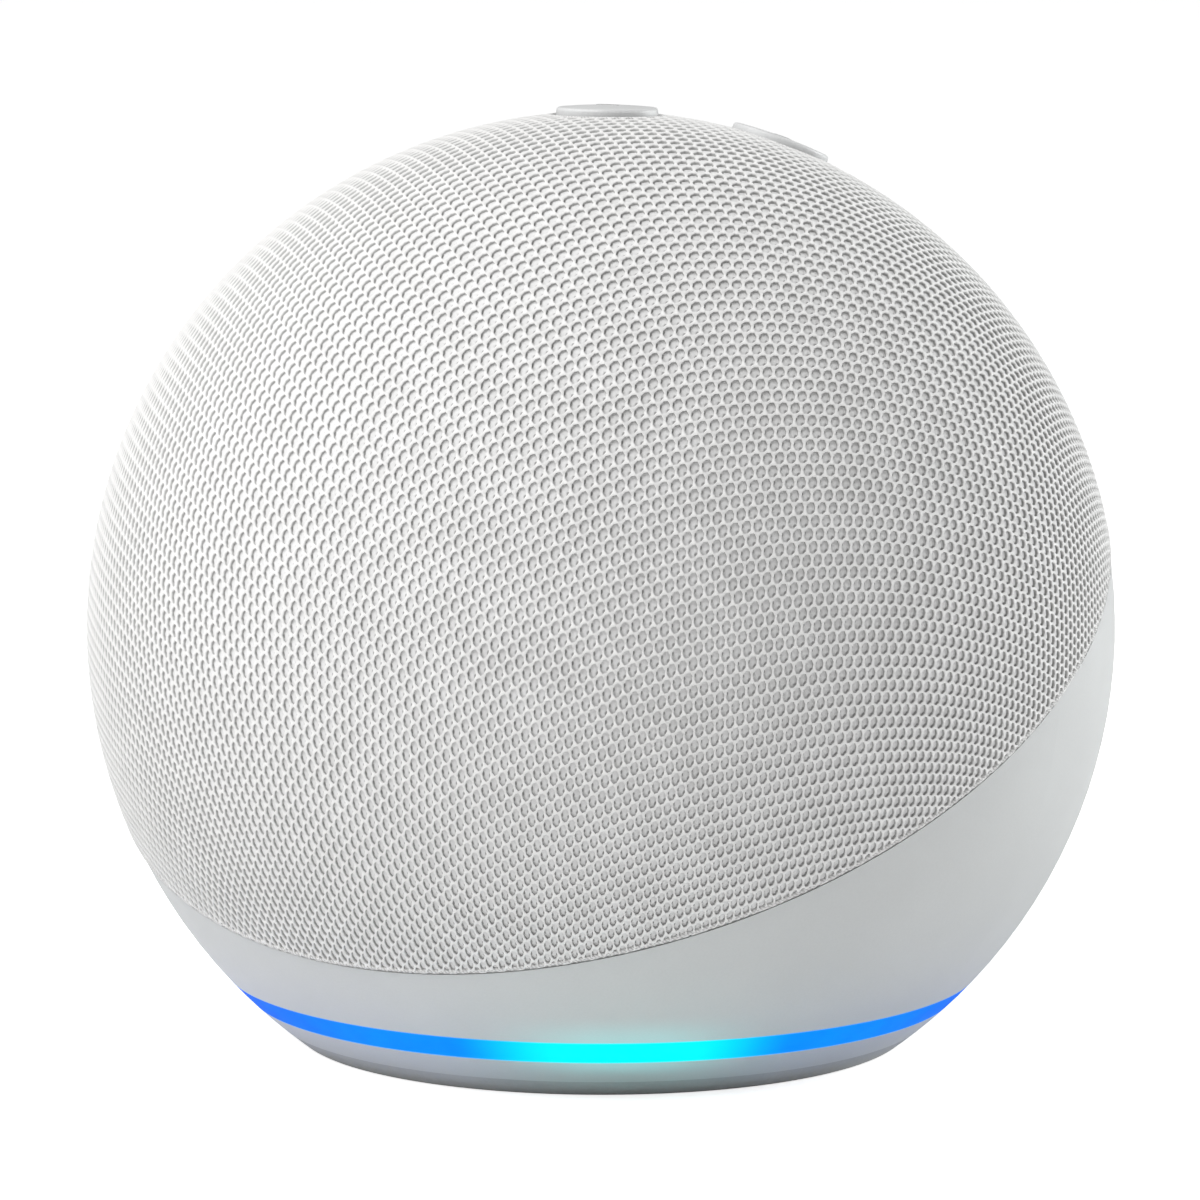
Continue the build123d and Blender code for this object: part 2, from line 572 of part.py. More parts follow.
LEAD_RADIUS = CUP_DIAMETER / 2 - CUP_WALL - GROMMET_DIAMETER / 2 - GROMMET_MARGIN
LEAD_Z = DRIVER_Z - sqrt(LEAD_RADIUS**2 - LEAD_OFFSET**2)
GROMMET = Plane(origin=(-LEAD_OFFSET, CUP_REAR_Y, LEAD_Z), x_dir=(1, 0, 0), z_dir=(0, 1, 0))
with BuildPart() as enclosure_rear:
    with BuildSketch(DRIVER.offset(CUP_FRONT)):
        Circle(BAFFLE_DIAMETER / 2)
    extrude(amount=-CUP_FLANGE)
    with BuildSketch(DRIVER.offset(CUP_FRONT)):
        Circle(CUP_DIAMETER / 2)
    extrude(amount=-(CUP_DEPTH + CUP_FRONT))
    with BuildSketch(DRIVER.offset(CUP_FRONT)):
        Circle(CUP_DIAMETER / 2 - CUP_WALL)
    extrude(amount=-(CUP_DEPTH + CUP_FRONT - CUP_WALL), mode=Mode.SUBTRACT)
    with BuildSketch(DRIVER.offset(CUP_FRONT)):
        with Locations(*diagonal_spots(CUP_SCREW_CIRCLE / 2)):
            Circle(PASSING)
    extrude(amount=-CUP_FLANGE, mode=Mode.SUBTRACT)
    with BuildSketch(GROMMET):
        Circle(GROMMET_DIAMETER / 2)
    extrude(amount=-CUP_WALL, mode=Mode.SUBTRACT)
finish(enclosure_rear.part, "enclosure_rear")

make_screws(
    "enclosure_screws",
    Plane(origin=DRIVER.offset(CUP_FRONT - CUP_FLANGE).origin, x_dir=(1, 0, 0), z_dir=(0, 1, 0)),
    diagonal_spots(CUP_SCREW_CIRCLE / 2),
    CUP_FLANGE - CUP_FRONT + SCREW_BITE,
)

# ---------------------------------------------------------------- driver, fixed pieces
with BuildPart() as driver_basket:
    with BuildSketch(DRIVER_SECTION):
        with BuildLine():
            Polyline(
                (BASKET_RIM_DIAMETER / 2, 0),
                (BASKET_RIM_DIAMETER / 2, BASKET_RIM),
                (BASKET_BODY_DIAMETER / 2 - BASKET_WALL, BASKET_RIM),
                (BASKET_BODY_DIAMETER / 2 - BASKET_WALL, -BASKET_WALL),
                (BASKET_REAR_DIAMETER / 2 - BASKET_WALL, BASKET_WALL - BASKET_DEPTH),
                (BASKET_HOLE_DIAMETER / 2, BASKET_WALL - BASKET_DEPTH),
                (BASKET_HOLE_DIAMETER / 2, -BASKET_DEPTH),
                (BASKET_REAR_DIAMETER / 2, -BASKET_DEPTH),
                (BASKET_BODY_DIAMETER / 2, -BASKET_WALL),
                (BASKET_BODY_DIAMETER / 2, 0),
                close=True,
            )
        make_face()
    revolve(axis=DRIVER_AXIS)
    # Windows between the basket's legs, clear of the spider's ledge.
    with BuildSketch(DRIVER.offset(-2 * BASKET_WALL)):
        with PolarLocations(BASKET_REAR_DIAMETER / 2, BASKET_WINDOWS, start_angle=180 / BASKET_WINDOWS):
            Rectangle(BASKET_REAR_DIAMETER / 2, BASKET_WINDOW_WIDTH)
    extrude(amount=2 * BASKET_WALL + CONE_WALL - SPIDER_DEPTH, mode=Mode.SUBTRACT)
    with BuildSketch(DRIVER):
        with PolarLocations(DRIVER_SCREW_CIRCLE / 2, 4):
            Circle(PASSING)
    extrude(amount=BASKET_RIM, mode=Mode.SUBTRACT)
finish(driver_basket.part, "driver_basket")

make_screws(
    "driver_screws",
    DRIVER.offset(BASKET_RIM),
    [(DRIVER_SCREW_CIRCLE / 2, 0), (0, DRIVER_SCREW_CIRCLE / 2),
     (-DRIVER_SCREW_CIRCLE / 2, 0), (0, -DRIVER_SCREW_CIRCLE / 2)],
    BASKET_RIM + BAFFLE_THICKNESS,
)

with BuildPart() as top_plate:
    with BuildSketch(DRIVER.offset(-BASKET_DEPTH)):
        Circle(TOP_PLATE_DIAMETER / 2)
        Circle(COIL_OUTER + MOVING_GAP, mode=Mode.SUBTRACT)
    extrude(amount=-TOP_PLATE_THICKNESS)
finish(top_plate.part, "top_plate")

with BuildPart() as driver_magnet:
    with BuildSketch(DRIVER.offset(MAGNET_FRONT)):
        Circle(MAGNET_DIAMETER / 2)
        Circle(MAGNET_BORE / 2, mode=Mode.SUBTRACT)
    extrude(amount=-MAGNET_THICKNESS)
finish(driver_magnet.part, "driver_magnet")

with BuildPart() as driver_yoke:
    with BuildSketch(DRIVER.offset(YOKE_FRONT)):
        Circle(YOKE_DIAMETER / 2)
    extrude(amount=-YOKE_THICKNESS)
    with BuildSketch(DRIVER.offset(YOKE_FRONT)):
        Circle(POLE_DIAMETER / 2)
    extrude(amount=-BASKET_DEPTH - YOKE_FRONT)
finish(driver_yoke.part, "driver_yoke")

with BuildPart() as driver_terminals:
    with BuildSketch(DRIVER.offset(-BASKET_DEPTH)):
        with Locations((-LEAD_OFFSET, LEAD_Z - DRIVER_Z)):
            Rectangle(TERMINAL_SIZE, TERMINAL_SIZE)
        Circle(TOP_PLATE_DIAMETER / 2 + BOARD_GAP, mode=Mode.SUBTRACT)
    extrude(amount=-TERMINAL_THICKNESS)
finish(driver_terminals.part, "driver_terminals")

# ---------------------------------------------------------------- driver, moving pieces
COIL_REAR = -BASKET_DEPTH - TOP_PLATE_THICKNESS - COIL_OVERHANG
CONE_EDGE = BASKET_RIM - CONE_WALL / 2
CONE_NECK = COIL_REAR + COIL_LENGTH - CONE_WALL
ROLL_OUTER = CONE_EDGE_DIAMETER / 2 + SURROUND_ROLL
SURROUND_LEVEL = BASKET_RIM + SURROUND_WALL / 2

with BuildPart() as voice_coil:
    with BuildSketch(DRIVER.offset(COIL_REAR)):
        Circle(COIL_OUTER)
        Circle(COIL_RADIUS, mode=Mode.SUBTRACT)
    extrude(amount=COIL_LENGTH)
finish(voice_coil.part, "voice_coil")

with BuildPart() as cone:
    with BuildSketch(DRIVER_SECTION):
        with BuildLine():
            Polyline(
                (COIL_OUTER, CONE_NECK),
                (CONE_EDGE_DIAMETER / 2 - SURROUND_LIP, CONE_EDGE - CONE_WALL / 2),
                (CONE_EDGE_DIAMETER / 2, CONE_EDGE - CONE_WALL / 2),
                (CONE_EDGE_DIAMETER / 2, CONE_EDGE + CONE_WALL / 2),
                (CONE_EDGE_DIAMETER / 2 - SURROUND_LIP - CONE_WALL / 2, CONE_EDGE + CONE_WALL / 2),
                (COIL_OUTER, CONE_NECK + 2 * CONE_WALL),
                close=True,
            )
        make_face()
    revolve(axis=DRIVER_AXIS)
finish(cone.part, "cone")

CAP_EDGE = CONE_NECK + 2 * CONE_WALL + (DUST_CAP_DIAMETER / 2 - COIL_OUTER)
with BuildPart() as dust_cap:
    with BuildSketch(DRIVER_SECTION):
        with BuildLine():
            cap_top = ThreePointArc(
                (-DUST_CAP_DIAMETER / 2, CAP_EDGE + DUST_CAP_WALL),
                (0, CAP_EDGE + DUST_CAP_WALL + DUST_CAP_RISE),
                (DUST_CAP_DIAMETER / 2, CAP_EDGE + DUST_CAP_WALL),
            )
            Line(cap_top @ 1, (DUST_CAP_DIAMETER / 2, CAP_EDGE))
            ThreePointArc(
                (DUST_CAP_DIAMETER / 2, CAP_EDGE),
                (0, CAP_EDGE + DUST_CAP_RISE),
                (-DUST_CAP_DIAMETER / 2, CAP_EDGE),
            )
            Line((-DUST_CAP_DIAMETER / 2, CAP_EDGE), cap_top @ 0)
        make_face()
        split(bisect_by=Plane(origin=DRIVER_ORIGIN, z_dir=(1, 0, 0)), keep=Keep.TOP)
    revolve(axis=DRIVER_AXIS)
finish(dust_cap.part, "dust_cap")

with BuildPart() as surround:
    with BuildSketch(DRIVER_SECTION):
        with BuildLine():
            Line((ROLL_OUTER + SURROUND_LIP, SURROUND_LEVEL), (ROLL_OUTER, SURROUND_LEVEL))
            ThreePointArc(
                (ROLL_OUTER, SURROUND_LEVEL),
                (ROLL_OUTER - SURROUND_ROLL / 2, SURROUND_LEVEL + SURROUND_ROLL / 2),
                (ROLL_OUTER - SURROUND_ROLL, SURROUND_LEVEL),
            )
            Line(
                (ROLL_OUTER - SURROUND_ROLL, SURROUND_LEVEL),
                (ROLL_OUTER - SURROUND_ROLL - SURROUND_LIP, SURROUND_LEVEL),
            )
        trace(line_width=SURROUND_WALL)
    revolve(axis=DRIVER_AXIS)
finish(surround.part, "surround")

SPIDER_OUTER = BASKET_REAR_DIAMETER / 2 - BASKET_WALL / 2
SPIDER_STEP = (SPIDER_OUTER - COIL_OUTER - SPIDER_WALL) / (len(SPIDER_LIFTS) - 1)
SPIDER_START = COIL_OUTER + SPIDER_WALL / 2
with BuildPart() as spider:
    with BuildSketch(DRIVER_SECTION):
        with BuildLine():
            Polyline(*[
                (SPIDER_START + step * SPIDER_STEP, lift * SPIDER_WAVE - SPIDER_DEPTH)
                for step, lift in enumerate(SPIDER_LIFTS)
            ])
        trace(line_width=SPIDER_WALL)
    revolve(axis=DRIVER_AXIS)
finish(spider.part, "spider")

# ---------------------------------------------------------------- leads
def lead_path(offset_x):
    """Route of one speaker lead: back through the cup, down behind it and forward to the main board."""
    return [
        (offset_x, BAFFLE_Y + BASKET_DEPTH + TERMINAL_THICKNESS, LEAD_Z),
        (offset_x, REAR_DROP_Y, LEAD_Z),
        (offset_x, REAR_DROP_Y, BOARD_TOP + SHIELD_HEIGHT / 2),
        (offset_x, CONNECTOR_Y, BOARD_TOP + SHIELD_HEIGHT / 2),
    ]


with BuildPart() as lead_grommet:
    with BuildSketch(GROMMET.offset(-CUP_WALL)):
        Circle(GROMMET_DIAMETER / 2)
    extrude(amount=CUP_WALL)
    with BuildSketch(GROMMET):
        Circle(GROMMET_DIAMETER / 2 + GROMMET_LIP)
    extrude(amount=GROMMET_LIP)
    with BuildSketch(GROMMET.offset(-CUP_WALL)):
        with Locations((-LEAD_SPACING / 2, 0), (LEAD_SPACING / 2, 0)):
            Circle(LEAD_DIAMETER / 2)
    extrude(amount=CUP_WALL + GROMMET_LIP, mode=Mode.SUBTRACT)
finish(lead_grommet.part, "lead_grommet")

with BuildPart() as speaker_leads:
    for side in (-1, 1):
        with BuildLine():
            route = FilletPolyline(*lead_path(-LEAD_OFFSET + side * LEAD_SPACING / 2), radius=LEAD_BEND)
        with BuildSketch(Plane(origin=route @ 0, z_dir=route % 0)):
            Circle(LEAD_DIAMETER / 2)
        sweep(path=route)
finish(speaker_leads.part, "speaker_leads")

FLEX_START = KEYPAD.offset(KEYPAD_BOARD_BOTTOM - FLEX_THICKNESS / 2).origin
FLEX_REACH = (REAR_DROP_Y - FLEX_START.Y) / KEYPAD.y_dir.Y
FLEX_TURN = FLEX_START + KEYPAD.y_dir * FLEX_REACH
FLEX_FROM = FLEX_START + KEYPAD.y_dir * FLEX_START_OFFSET
with BuildPart() as keypad_flex:
    with BuildSketch(Plane.YZ.offset(FLEX_OFFSET - FLEX_WIDTH / 2)):
        with BuildLine():
            FilletPolyline(
                (FLEX_FROM.Y, FLEX_FROM.Z),
                (FLEX_TURN.Y, FLEX_TURN.Z),
                (REAR_DROP_Y, BOARD_TOP + SHIELD_HEIGHT / 2),
                (CONNECTOR_Y, BOARD_TOP + SHIELD_HEIGHT / 2),
                radius=FLEX_BEND,
            )
        trace(line_width=FLEX_THICKNESS)
    extrude(amount=FLEX_WIDTH)
finish(keypad_flex.part, "keypad_flex")

# ---------------------------------------------------------------- keypad
RIM_ANGLE = asin(BUTTON_DIAMETER / 2 / BUTTON_TOP)
for label, around in BUTTONS.items():
    axis_plane = button_plane(around)
    section = Plane(origin=CENTRE, x_dir=axis_plane.x_dir, z_dir=axis_plane.x_dir.cross(axis_plane.z_dir))
    with BuildPart() as button:
        with BuildSketch(section) as half:
            with BuildLine():
                rim = Polyline(
                    (0, BUTTON_TOP),
                    (0, KEYPAD_BOARD_TOP),
                    (BUTTON_STEM_DIAMETER / 2, KEYPAD_BOARD_TOP),
                    (BUTTON_STEM_DIAMETER / 2, FLANGE_BOTTOM),
                    (FLANGE_RADIUS, FLANGE_BOTTOM),
                    (FLANGE_RADIUS, FLANGE_TOP),
                    (BUTTON_DIAMETER / 2, FLANGE_TOP),
                    (BUTTON_DIAMETER / 2, BUTTON_TOP * cos(RIM_ANGLE)),
                )
                ThreePointArc(
                    rim @ 1,
                    (BUTTON_TOP * sin(RIM_ANGLE / 2), BUTTON_TOP * cos(RIM_ANGLE / 2)),
                    (0, BUTTON_TOP),
                )
            make_face()
            # The corner next below the crown is the rim.
            fillet(half.vertices().sort_by(Axis.Y)[-2], BUTTON_EDGE)
        revolve(axis=Axis(CENTRE, axis_plane.z_dir))
        split(bisect_by=KEYPAD.offset(STEM_END), keep=Keep.TOP)
    finish(button.part, label)

with BuildPart() as button_guide:
    with BuildSketch(KEYPAD.offset(GUIDE_BOTTOM)):
        Circle(KEYPAD_DIAMETER / 2)
        with PolarLocations(KEYPAD_POST_CIRCLE / 2, 4):
            Circle(MICROPHONE_PORT / 2, mode=Mode.SUBTRACT)
    extrude(amount=KEYPAD_GUIDE_THICKNESS)
    with BuildSketch(KEYPAD.offset(KEYPAD_BOARD_TOP)):
        with Locations(*diagonal_spots(KEYPAD_POST_CIRCLE / 2)):
            Circle(KEYPAD_POST_DIAMETER / 2)
    extrude(amount=GUIDE_BOTTOM - KEYPAD_BOARD_TOP)
    with BuildSketch(KEYPAD.offset(KEYPAD_BOARD_TOP)):
        with Locations(*diagonal_spots(KEYPAD_POST_CIRCLE / 2)):
            Circle(PASSING)
    extrude(amount=GUIDE_TOP - KEYPAD_BOARD_TOP, mode=Mode.SUBTRACT)
    for around in BUTTONS.values():
        with BuildSketch(button_plane(around)):
            Circle(BUTTON_STEM_DIAMETER / 2 + BUTTON_CLEARANCE)
        extrude(amount=BUTTON_TOP, mode=Mode.SUBTRACT)
finish(button_guide.part, "button_guide")

with BuildPart() as keypad_board:
    with BuildSketch(KEYPAD.offset(KEYPAD_BOARD_BOTTOM)):
        Circle(KEYPAD_DIAMETER / 2)
        with Locations(*diagonal_spots(KEYPAD_POST_CIRCLE / 2)):
            Circle(PASSING, mode=Mode.SUBTRACT)
    extrude(amount=KEYPAD_BOARD_THICKNESS)
finish(keypad_board.part, "keypad_board")

with BuildPart() as tactile_switches:
    with BuildSketch(KEYPAD.offset(KEYPAD_BOARD_TOP)):
        with PolarLocations(SWITCH_CIRCLE, 4):
            Rectangle(SWITCH_SIZE, SWITCH_SIZE)
    extrude(amount=SWITCH_BODY_HEIGHT)
    with BuildSketch(KEYPAD.offset(KEYPAD_BOARD_TOP + SWITCH_BODY_HEIGHT)):
        with PolarLocations(SWITCH_CIRCLE, 4):
            Circle(SWITCH_PLUNGER_DIAMETER / 2)
    extrude(amount=SWITCH_HEIGHT - SWITCH_BODY_HEIGHT)
finish(tactile_switches.part, "tactile_switches")

with BuildPart() as microphones:
    with BuildSketch(KEYPAD.offset(KEYPAD_BOARD_TOP)):
        with PolarLocations(KEYPAD_POST_CIRCLE / 2, 4):
            Rectangle(MICROPHONE_WIDTH, MICROPHONE_LENGTH)
    extrude(amount=MICROPHONE_HEIGHT)
finish(microphones.part, "microphones")

make_screws(
    "keypad_screws",
    Plane(origin=KEYPAD.offset(KEYPAD_BOARD_BOTTOM).origin, x_dir=(1, 0, 0), z_dir=-KEYPAD_AXIS),
    diagonal_spots(KEYPAD_POST_CIRCLE / 2),
    KEYPAD_BITE - KEYPAD_BOARD_BOTTOM,
)
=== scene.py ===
"""The looks of a ball-shaped smart speaker, laid out as a Blender add-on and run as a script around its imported
frame.

The cloth is an open knit over a lining, both worked out on the flat cloth and wrapped round the ball. Sizes are
in metres."""
import json
import math

import bpy
import numpy as np
from bpy.props import FloatProperty, FloatVectorProperty, PointerProperty
from bpy.types import Operator, Panel, PropertyGroup
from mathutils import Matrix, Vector


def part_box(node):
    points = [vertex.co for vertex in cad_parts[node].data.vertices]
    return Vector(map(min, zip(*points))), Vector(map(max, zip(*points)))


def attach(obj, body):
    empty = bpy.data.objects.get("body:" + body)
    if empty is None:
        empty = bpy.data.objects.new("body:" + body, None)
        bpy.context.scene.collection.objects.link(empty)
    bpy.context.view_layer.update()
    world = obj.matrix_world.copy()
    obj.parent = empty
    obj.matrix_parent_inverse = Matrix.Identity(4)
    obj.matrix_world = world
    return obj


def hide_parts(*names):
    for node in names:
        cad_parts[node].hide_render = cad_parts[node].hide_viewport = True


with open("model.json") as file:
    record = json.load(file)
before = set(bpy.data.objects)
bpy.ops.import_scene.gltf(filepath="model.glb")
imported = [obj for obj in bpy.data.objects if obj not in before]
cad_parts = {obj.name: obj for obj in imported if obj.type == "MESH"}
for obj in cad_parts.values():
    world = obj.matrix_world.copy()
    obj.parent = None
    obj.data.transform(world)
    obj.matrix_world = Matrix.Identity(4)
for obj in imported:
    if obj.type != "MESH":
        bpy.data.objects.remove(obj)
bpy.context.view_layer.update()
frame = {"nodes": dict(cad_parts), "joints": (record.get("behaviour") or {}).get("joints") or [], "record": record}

bl_info = {
    "name": "Ball Smart Speaker",
    "version": (1, 0, 0),
    "blender": (4, 5, 0),
    "location": "View3D > Sidebar > Speaker",
    "description": "Dresses a ball-shaped smart speaker in its knit cloth, plastics, light and stage",
    "category": "Add Mesh",
}

MM = 0.001
LIP_LEAN, WALL_LEAN = 0.4, 1.6   # how far a thread's normals lean into its opening
FOOT_SPREAD = 1.04               # an opening's outline at the lining, against its lip
CROSSING_DIP = 0.02 * MM         # where threads meet, their crown lies this much lower
EDGE_GATHER = 0.014              # how much the cloth draws in towards its edge
HEM_CLEARANCE = 0.2 * MM         # between a button's cap and the hem round it
BUTTONS = ("volume_up_button", "volume_down_button", "microphone_button", "action_button")


# ---------------------------------------------------------------- measures taken from the frame


def node_points(name):
    """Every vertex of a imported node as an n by 3 array."""
    vertices = frame["nodes"][name].data.vertices
    found = np.empty(len(vertices) * 3, np.float32)
    vertices.foreach_get("co", found)
    return found.reshape(-1, 3).astype(float)


def widest_level(name):
    """The radius and height of the level circle where a round node is widest."""
    points = node_points(name)
    radius = np.hypot(points[:, 0], points[:, 1])
    widest = int(radius.argmax())
    return radius[widest], points[widest, 2]


def ball_centre():
    """The foot and the light ring are both cut from the housing's ball. Two level circles of one ball give the
    height of its centre."""
    low_radius, low_height = widest_level("rubber_foot")
    high_radius, high_height = widest_level("light_ring")
    rise = high_radius**2 + high_height**2 - low_radius**2 - low_height**2
    return np.array([0.0, 0.0, rise / (2 * (high_height - low_height))])


CENTRE = ball_centre()
CLOTH_RADIUS = np.linalg.norm(node_points("fabric_cover") - CENTRE, axis=1).max()
GRILLE_RADIUS = np.linalg.norm(node_points("grille_shell") - CENTRE, axis=1).max()


def seam_frame():
    """The cloth ends in a slanted circle that is lowest in front and reaches furthest back behind. The line
    through those two points gives the direction up the back, the pole square to the circle, and the angle
    from the pole to the edge."""
    low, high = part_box("fabric_cover")
    front_z = low.z - CENTRE[2]
    front = np.array([-math.sqrt(CLOTH_RADIUS**2 - front_z**2), front_z])
    back = np.array([high.y, math.sqrt(CLOTH_RADIUS**2 - high.y**2)])
    rise = (back - front) / np.linalg.norm(back - front)
    pole = np.array([0.0, -rise[1], rise[0]])
    edge = math.acos(float(front @ pole[1:]) / CLOTH_RADIUS)
    return np.array([0.0, *rise]), pole, edge


UP_THE_BACK, POLE, EDGE_ANGLE = seam_frame()
ACROSS = np.array([1.0, 0.0, 0.0])


def button_axes():
    """Each button's outward direction, which is the axis it is pressed along."""
    joints = {joint["child"]: joint for joint in frame["joints"]}
    axes = {}
    for name in BUTTONS:
        axis = np.array(joints[name]["axis"], float)
        axes[name] = axis / np.linalg.norm(axis)
    return axes


BUTTON_AXES = button_axes()


def cap_of(name):
    """The vertices of a button that stand outside the grille, which are its cap."""
    points = node_points(name) - CENTRE
    return points[np.linalg.norm(points, axis=1) > GRILLE_RADIUS]


def cap_radius():
    """How far a button's cap reaches from its own axis."""
    points, axis = cap_of(BUTTONS[0]), BUTTON_AXES[BUTTONS[0]]
    return np.linalg.norm(np.cross(points, axis), axis=1).max()


CAP_RADIUS = cap_radius()
CAP_TOP = np.linalg.norm(cap_of(BUTTONS[0]), axis=1).max()
RING_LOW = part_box("light_ring")[0].z
RING_TOP = widest_level("light_ring")[1]


# ---------------------------------------------------------------- settings


class SpeakerKnit(PropertyGroup):
    """Sizes of the knit cloth."""

    pitch: FloatProperty(name="Pitch", description="From one opening to the next along a row",
        default=1.96 * MM, unit="LENGTH")
    row_pair: FloatProperty(name="Row pair",
        description="From one row to the next but one; the row between is shifted half a pitch",
        default=1.68 * MM, unit="LENGTH")
    opening_width: FloatProperty(name="Opening width", description="An opening along its row", default=1.0 * MM,
        unit="LENGTH")
    opening_length: FloatProperty(name="Opening length", description="An opening across its row",
        default=1.5 * MM, unit="LENGTH")
    thread: FloatProperty(name="Thread", description="A thread between two openings on the slant",
        default=0.12 * MM, unit="LENGTH")
    slant_shift: FloatProperty(name="Slant shift",
        description="How far the slanting sides' middles lie towards an opening's ends", default=0.17 * MM,
        unit="LENGTH")
    lip_drop: FloatProperty(name="Lip drop", description="How far a thread's edge lies under its crown",
        default=0.03 * MM, unit="LENGTH")
    lining_rise: FloatProperty(name="Lining rise", description="The lining's place above the grille",
        default=0.38 * MM, unit="LENGTH")
    pad_rise: FloatProperty(name="Pad rise", description="How far the lining swells in an opening",
        default=0.2 * MM, unit="LENGTH")
    hem_radius: FloatProperty(name="Hem radius", description="Half the thickness of the rolled edge",
        default=0.2 * MM, unit="LENGTH")
    flat_width: FloatProperty(name="Flat width",
        description="Across the disc that the cloth is cut to before it is stretched on", default=0.15,
        unit="LENGTH")


class SpeakerColours(PropertyGroup):
    """Colours of the visible finishes."""

    thread: FloatVectorProperty(name="Thread", description="The knit's yarn", subtype="COLOR",
        default=(0.97, 0.965, 0.955))
    lining: FloatVectorProperty(name="Lining", description="The cloth under the knit", subtype="COLOR",
        default=(0.95, 0.945, 0.935))
    # Painted shade: the colour painted into the hollows beside each lining pad and down the walls of the knit's
    # openings.
    hollow_shade: FloatVectorProperty(name="Hollow", description="The gaps beside each pad of the lining",
        subtype="COLOR", default=(0.3, 0.3, 0.295))
    plastic: FloatVectorProperty(name="Plastic", description="The housing and its foot band", subtype="COLOR",
        default=(0.675, 0.69, 0.688))
    button: FloatVectorProperty(name="Button", description="The four button caps", subtype="COLOR",
        default=(0.78, 0.785, 0.785))
    light_middle: FloatVectorProperty(name="Light middle", description="The ring where it is brightest",
        subtype="COLOR", default=(0.0, 1.0, 1.0))
    light_side: FloatVectorProperty(name="Light side", description="The ring beside its bright part",
        subtype="COLOR", default=(0.0, 0.26, 1.0))
    light_end: FloatVectorProperty(name="Light end", description="The ring far from its bright part",
        subtype="COLOR", default=(0.0, 0.11, 0.9))
    light_turn: FloatProperty(name="Light turn",
        description="Where the ring is brightest, from the front towards +X", subtype="ANGLE",
        default=math.radians(34.0))


class SpeakerMarks(PropertyGroup):
    """Sizes of the raised signs on the buttons."""

    reach: FloatProperty(name="Reach", description="From a sign's middle to its end", default=1.25 * MM,
        unit="LENGTH")
    width: FloatProperty(name="Width", description="A sign's stroke", default=0.42 * MM, unit="LENGTH")
    rise: FloatProperty(name="Rise", description="How far a sign stands above its cap", default=0.09 * MM,
        unit="LENGTH")


class SpeakerStage(PropertyGroup):
    """The floor, the lights and the camera."""

    azimuth: FloatProperty(name="Azimuth", description="The camera's turn from the front towards +X",
        subtype="ANGLE", default=math.radians(30.5))
    elevation: FloatProperty(name="Elevation", description="The camera's height angle", subtype="ANGLE",
        default=math.radians(8.36))
    distance: FloatProperty(name="Distance", description="From the camera to the ball's centre", default=0.597,
        unit="LENGTH")
    lens: FloatProperty(name="Lens", description="Focal length", default=185.0, unit="CAMERA")
    floor_radius: FloatProperty(name="Floor radius", description="The floor's reach", default=12.0,
        unit="LENGTH")
    key_power: FloatProperty(name="Key power", description="The large lamp at the upper left", default=7.8,
        unit="POWER")
    rim_power: FloatProperty(name="Rim power", description="The lamp behind on the right", default=6.0,
        unit="POWER")
    ambient: FloatProperty(name="Ambient", description="Light from all round", default=0.29)


# ---------------------------------------------------------------- meshes


def on_ball(direction, radius):
    """Points at a distance from the ball's centre along each direction."""
    return CENTRE + direction * np.reshape(radius, (-1, 1))


def wrap_cloth(flat):
    """Directions of points of the flat cloth wrapped round the ball. The cloth's middle lies at the seam's
    pole, and a point as far from the middle as r lies r over the radius, in radians, from the pole, in the
    same compass direction, less the gather towards the edge, which grows with the cube of r."""
    reach = np.hypot(flat[:, 0], flat[:, 1])
    angle = reach / CLOTH_RADIUS
    angle = angle - EDGE_GATHER * angle ** 3
    share = np.sin(angle) / np.maximum(reach, 1e-9)
    sideways = flat[:, :1] * ACROSS + flat[:, 1:] * UP_THE_BACK
    return np.cos(angle)[:, None] * POLE + share[:, None] * sideways


def pushed_to_circle(direction, axis, angle, inwards):
    """Directions on the wrong side of a circle round an axis, moved straight to it. Inwards keeps those nearer
    the axis than the circle, and otherwise those further off are kept."""
    along = direction @ axis
    side = direction - along[:, None] * axis
    side /= np.maximum(np.linalg.norm(side, axis=1), 1e-9)[:, None]
    circle = math.cos(angle) * axis + math.sin(angle) * side
    wrong = along < math.cos(angle) if inwards else along > math.cos(angle)
    return np.where(wrong[:, None], circle, direction), wrong


def trimmed(direction, hole_angle):
    """The cloth's directions with its edge on the seam and round each button, and which of them had to move."""
    direction, moved = pushed_to_circle(direction, POLE, EDGE_ANGLE, True)
    for axis in BUTTON_AXES.values():
        direction, wrong = pushed_to_circle(direction, axis, hole_angle, False)
        moved = moved | wrong
    return direction, moved


def grid_faces(rows, columns, wrap_rows=False, wrap_columns=False):
    """Quads of a grid of points, row by row, closed on itself where it wraps."""
    row = np.arange(rows if wrap_rows else rows - 1)[:, None]
    column = np.arange(columns if wrap_columns else columns - 1)[None, :]
    next_row, next_column = (row + 1) % rows, (column + 1) % columns
    corners = (row * columns + column, row * columns + next_column, next_row * columns + next_column,
        next_row * columns + column)
    return np.stack(corners, axis=-1).reshape(-1, 4)


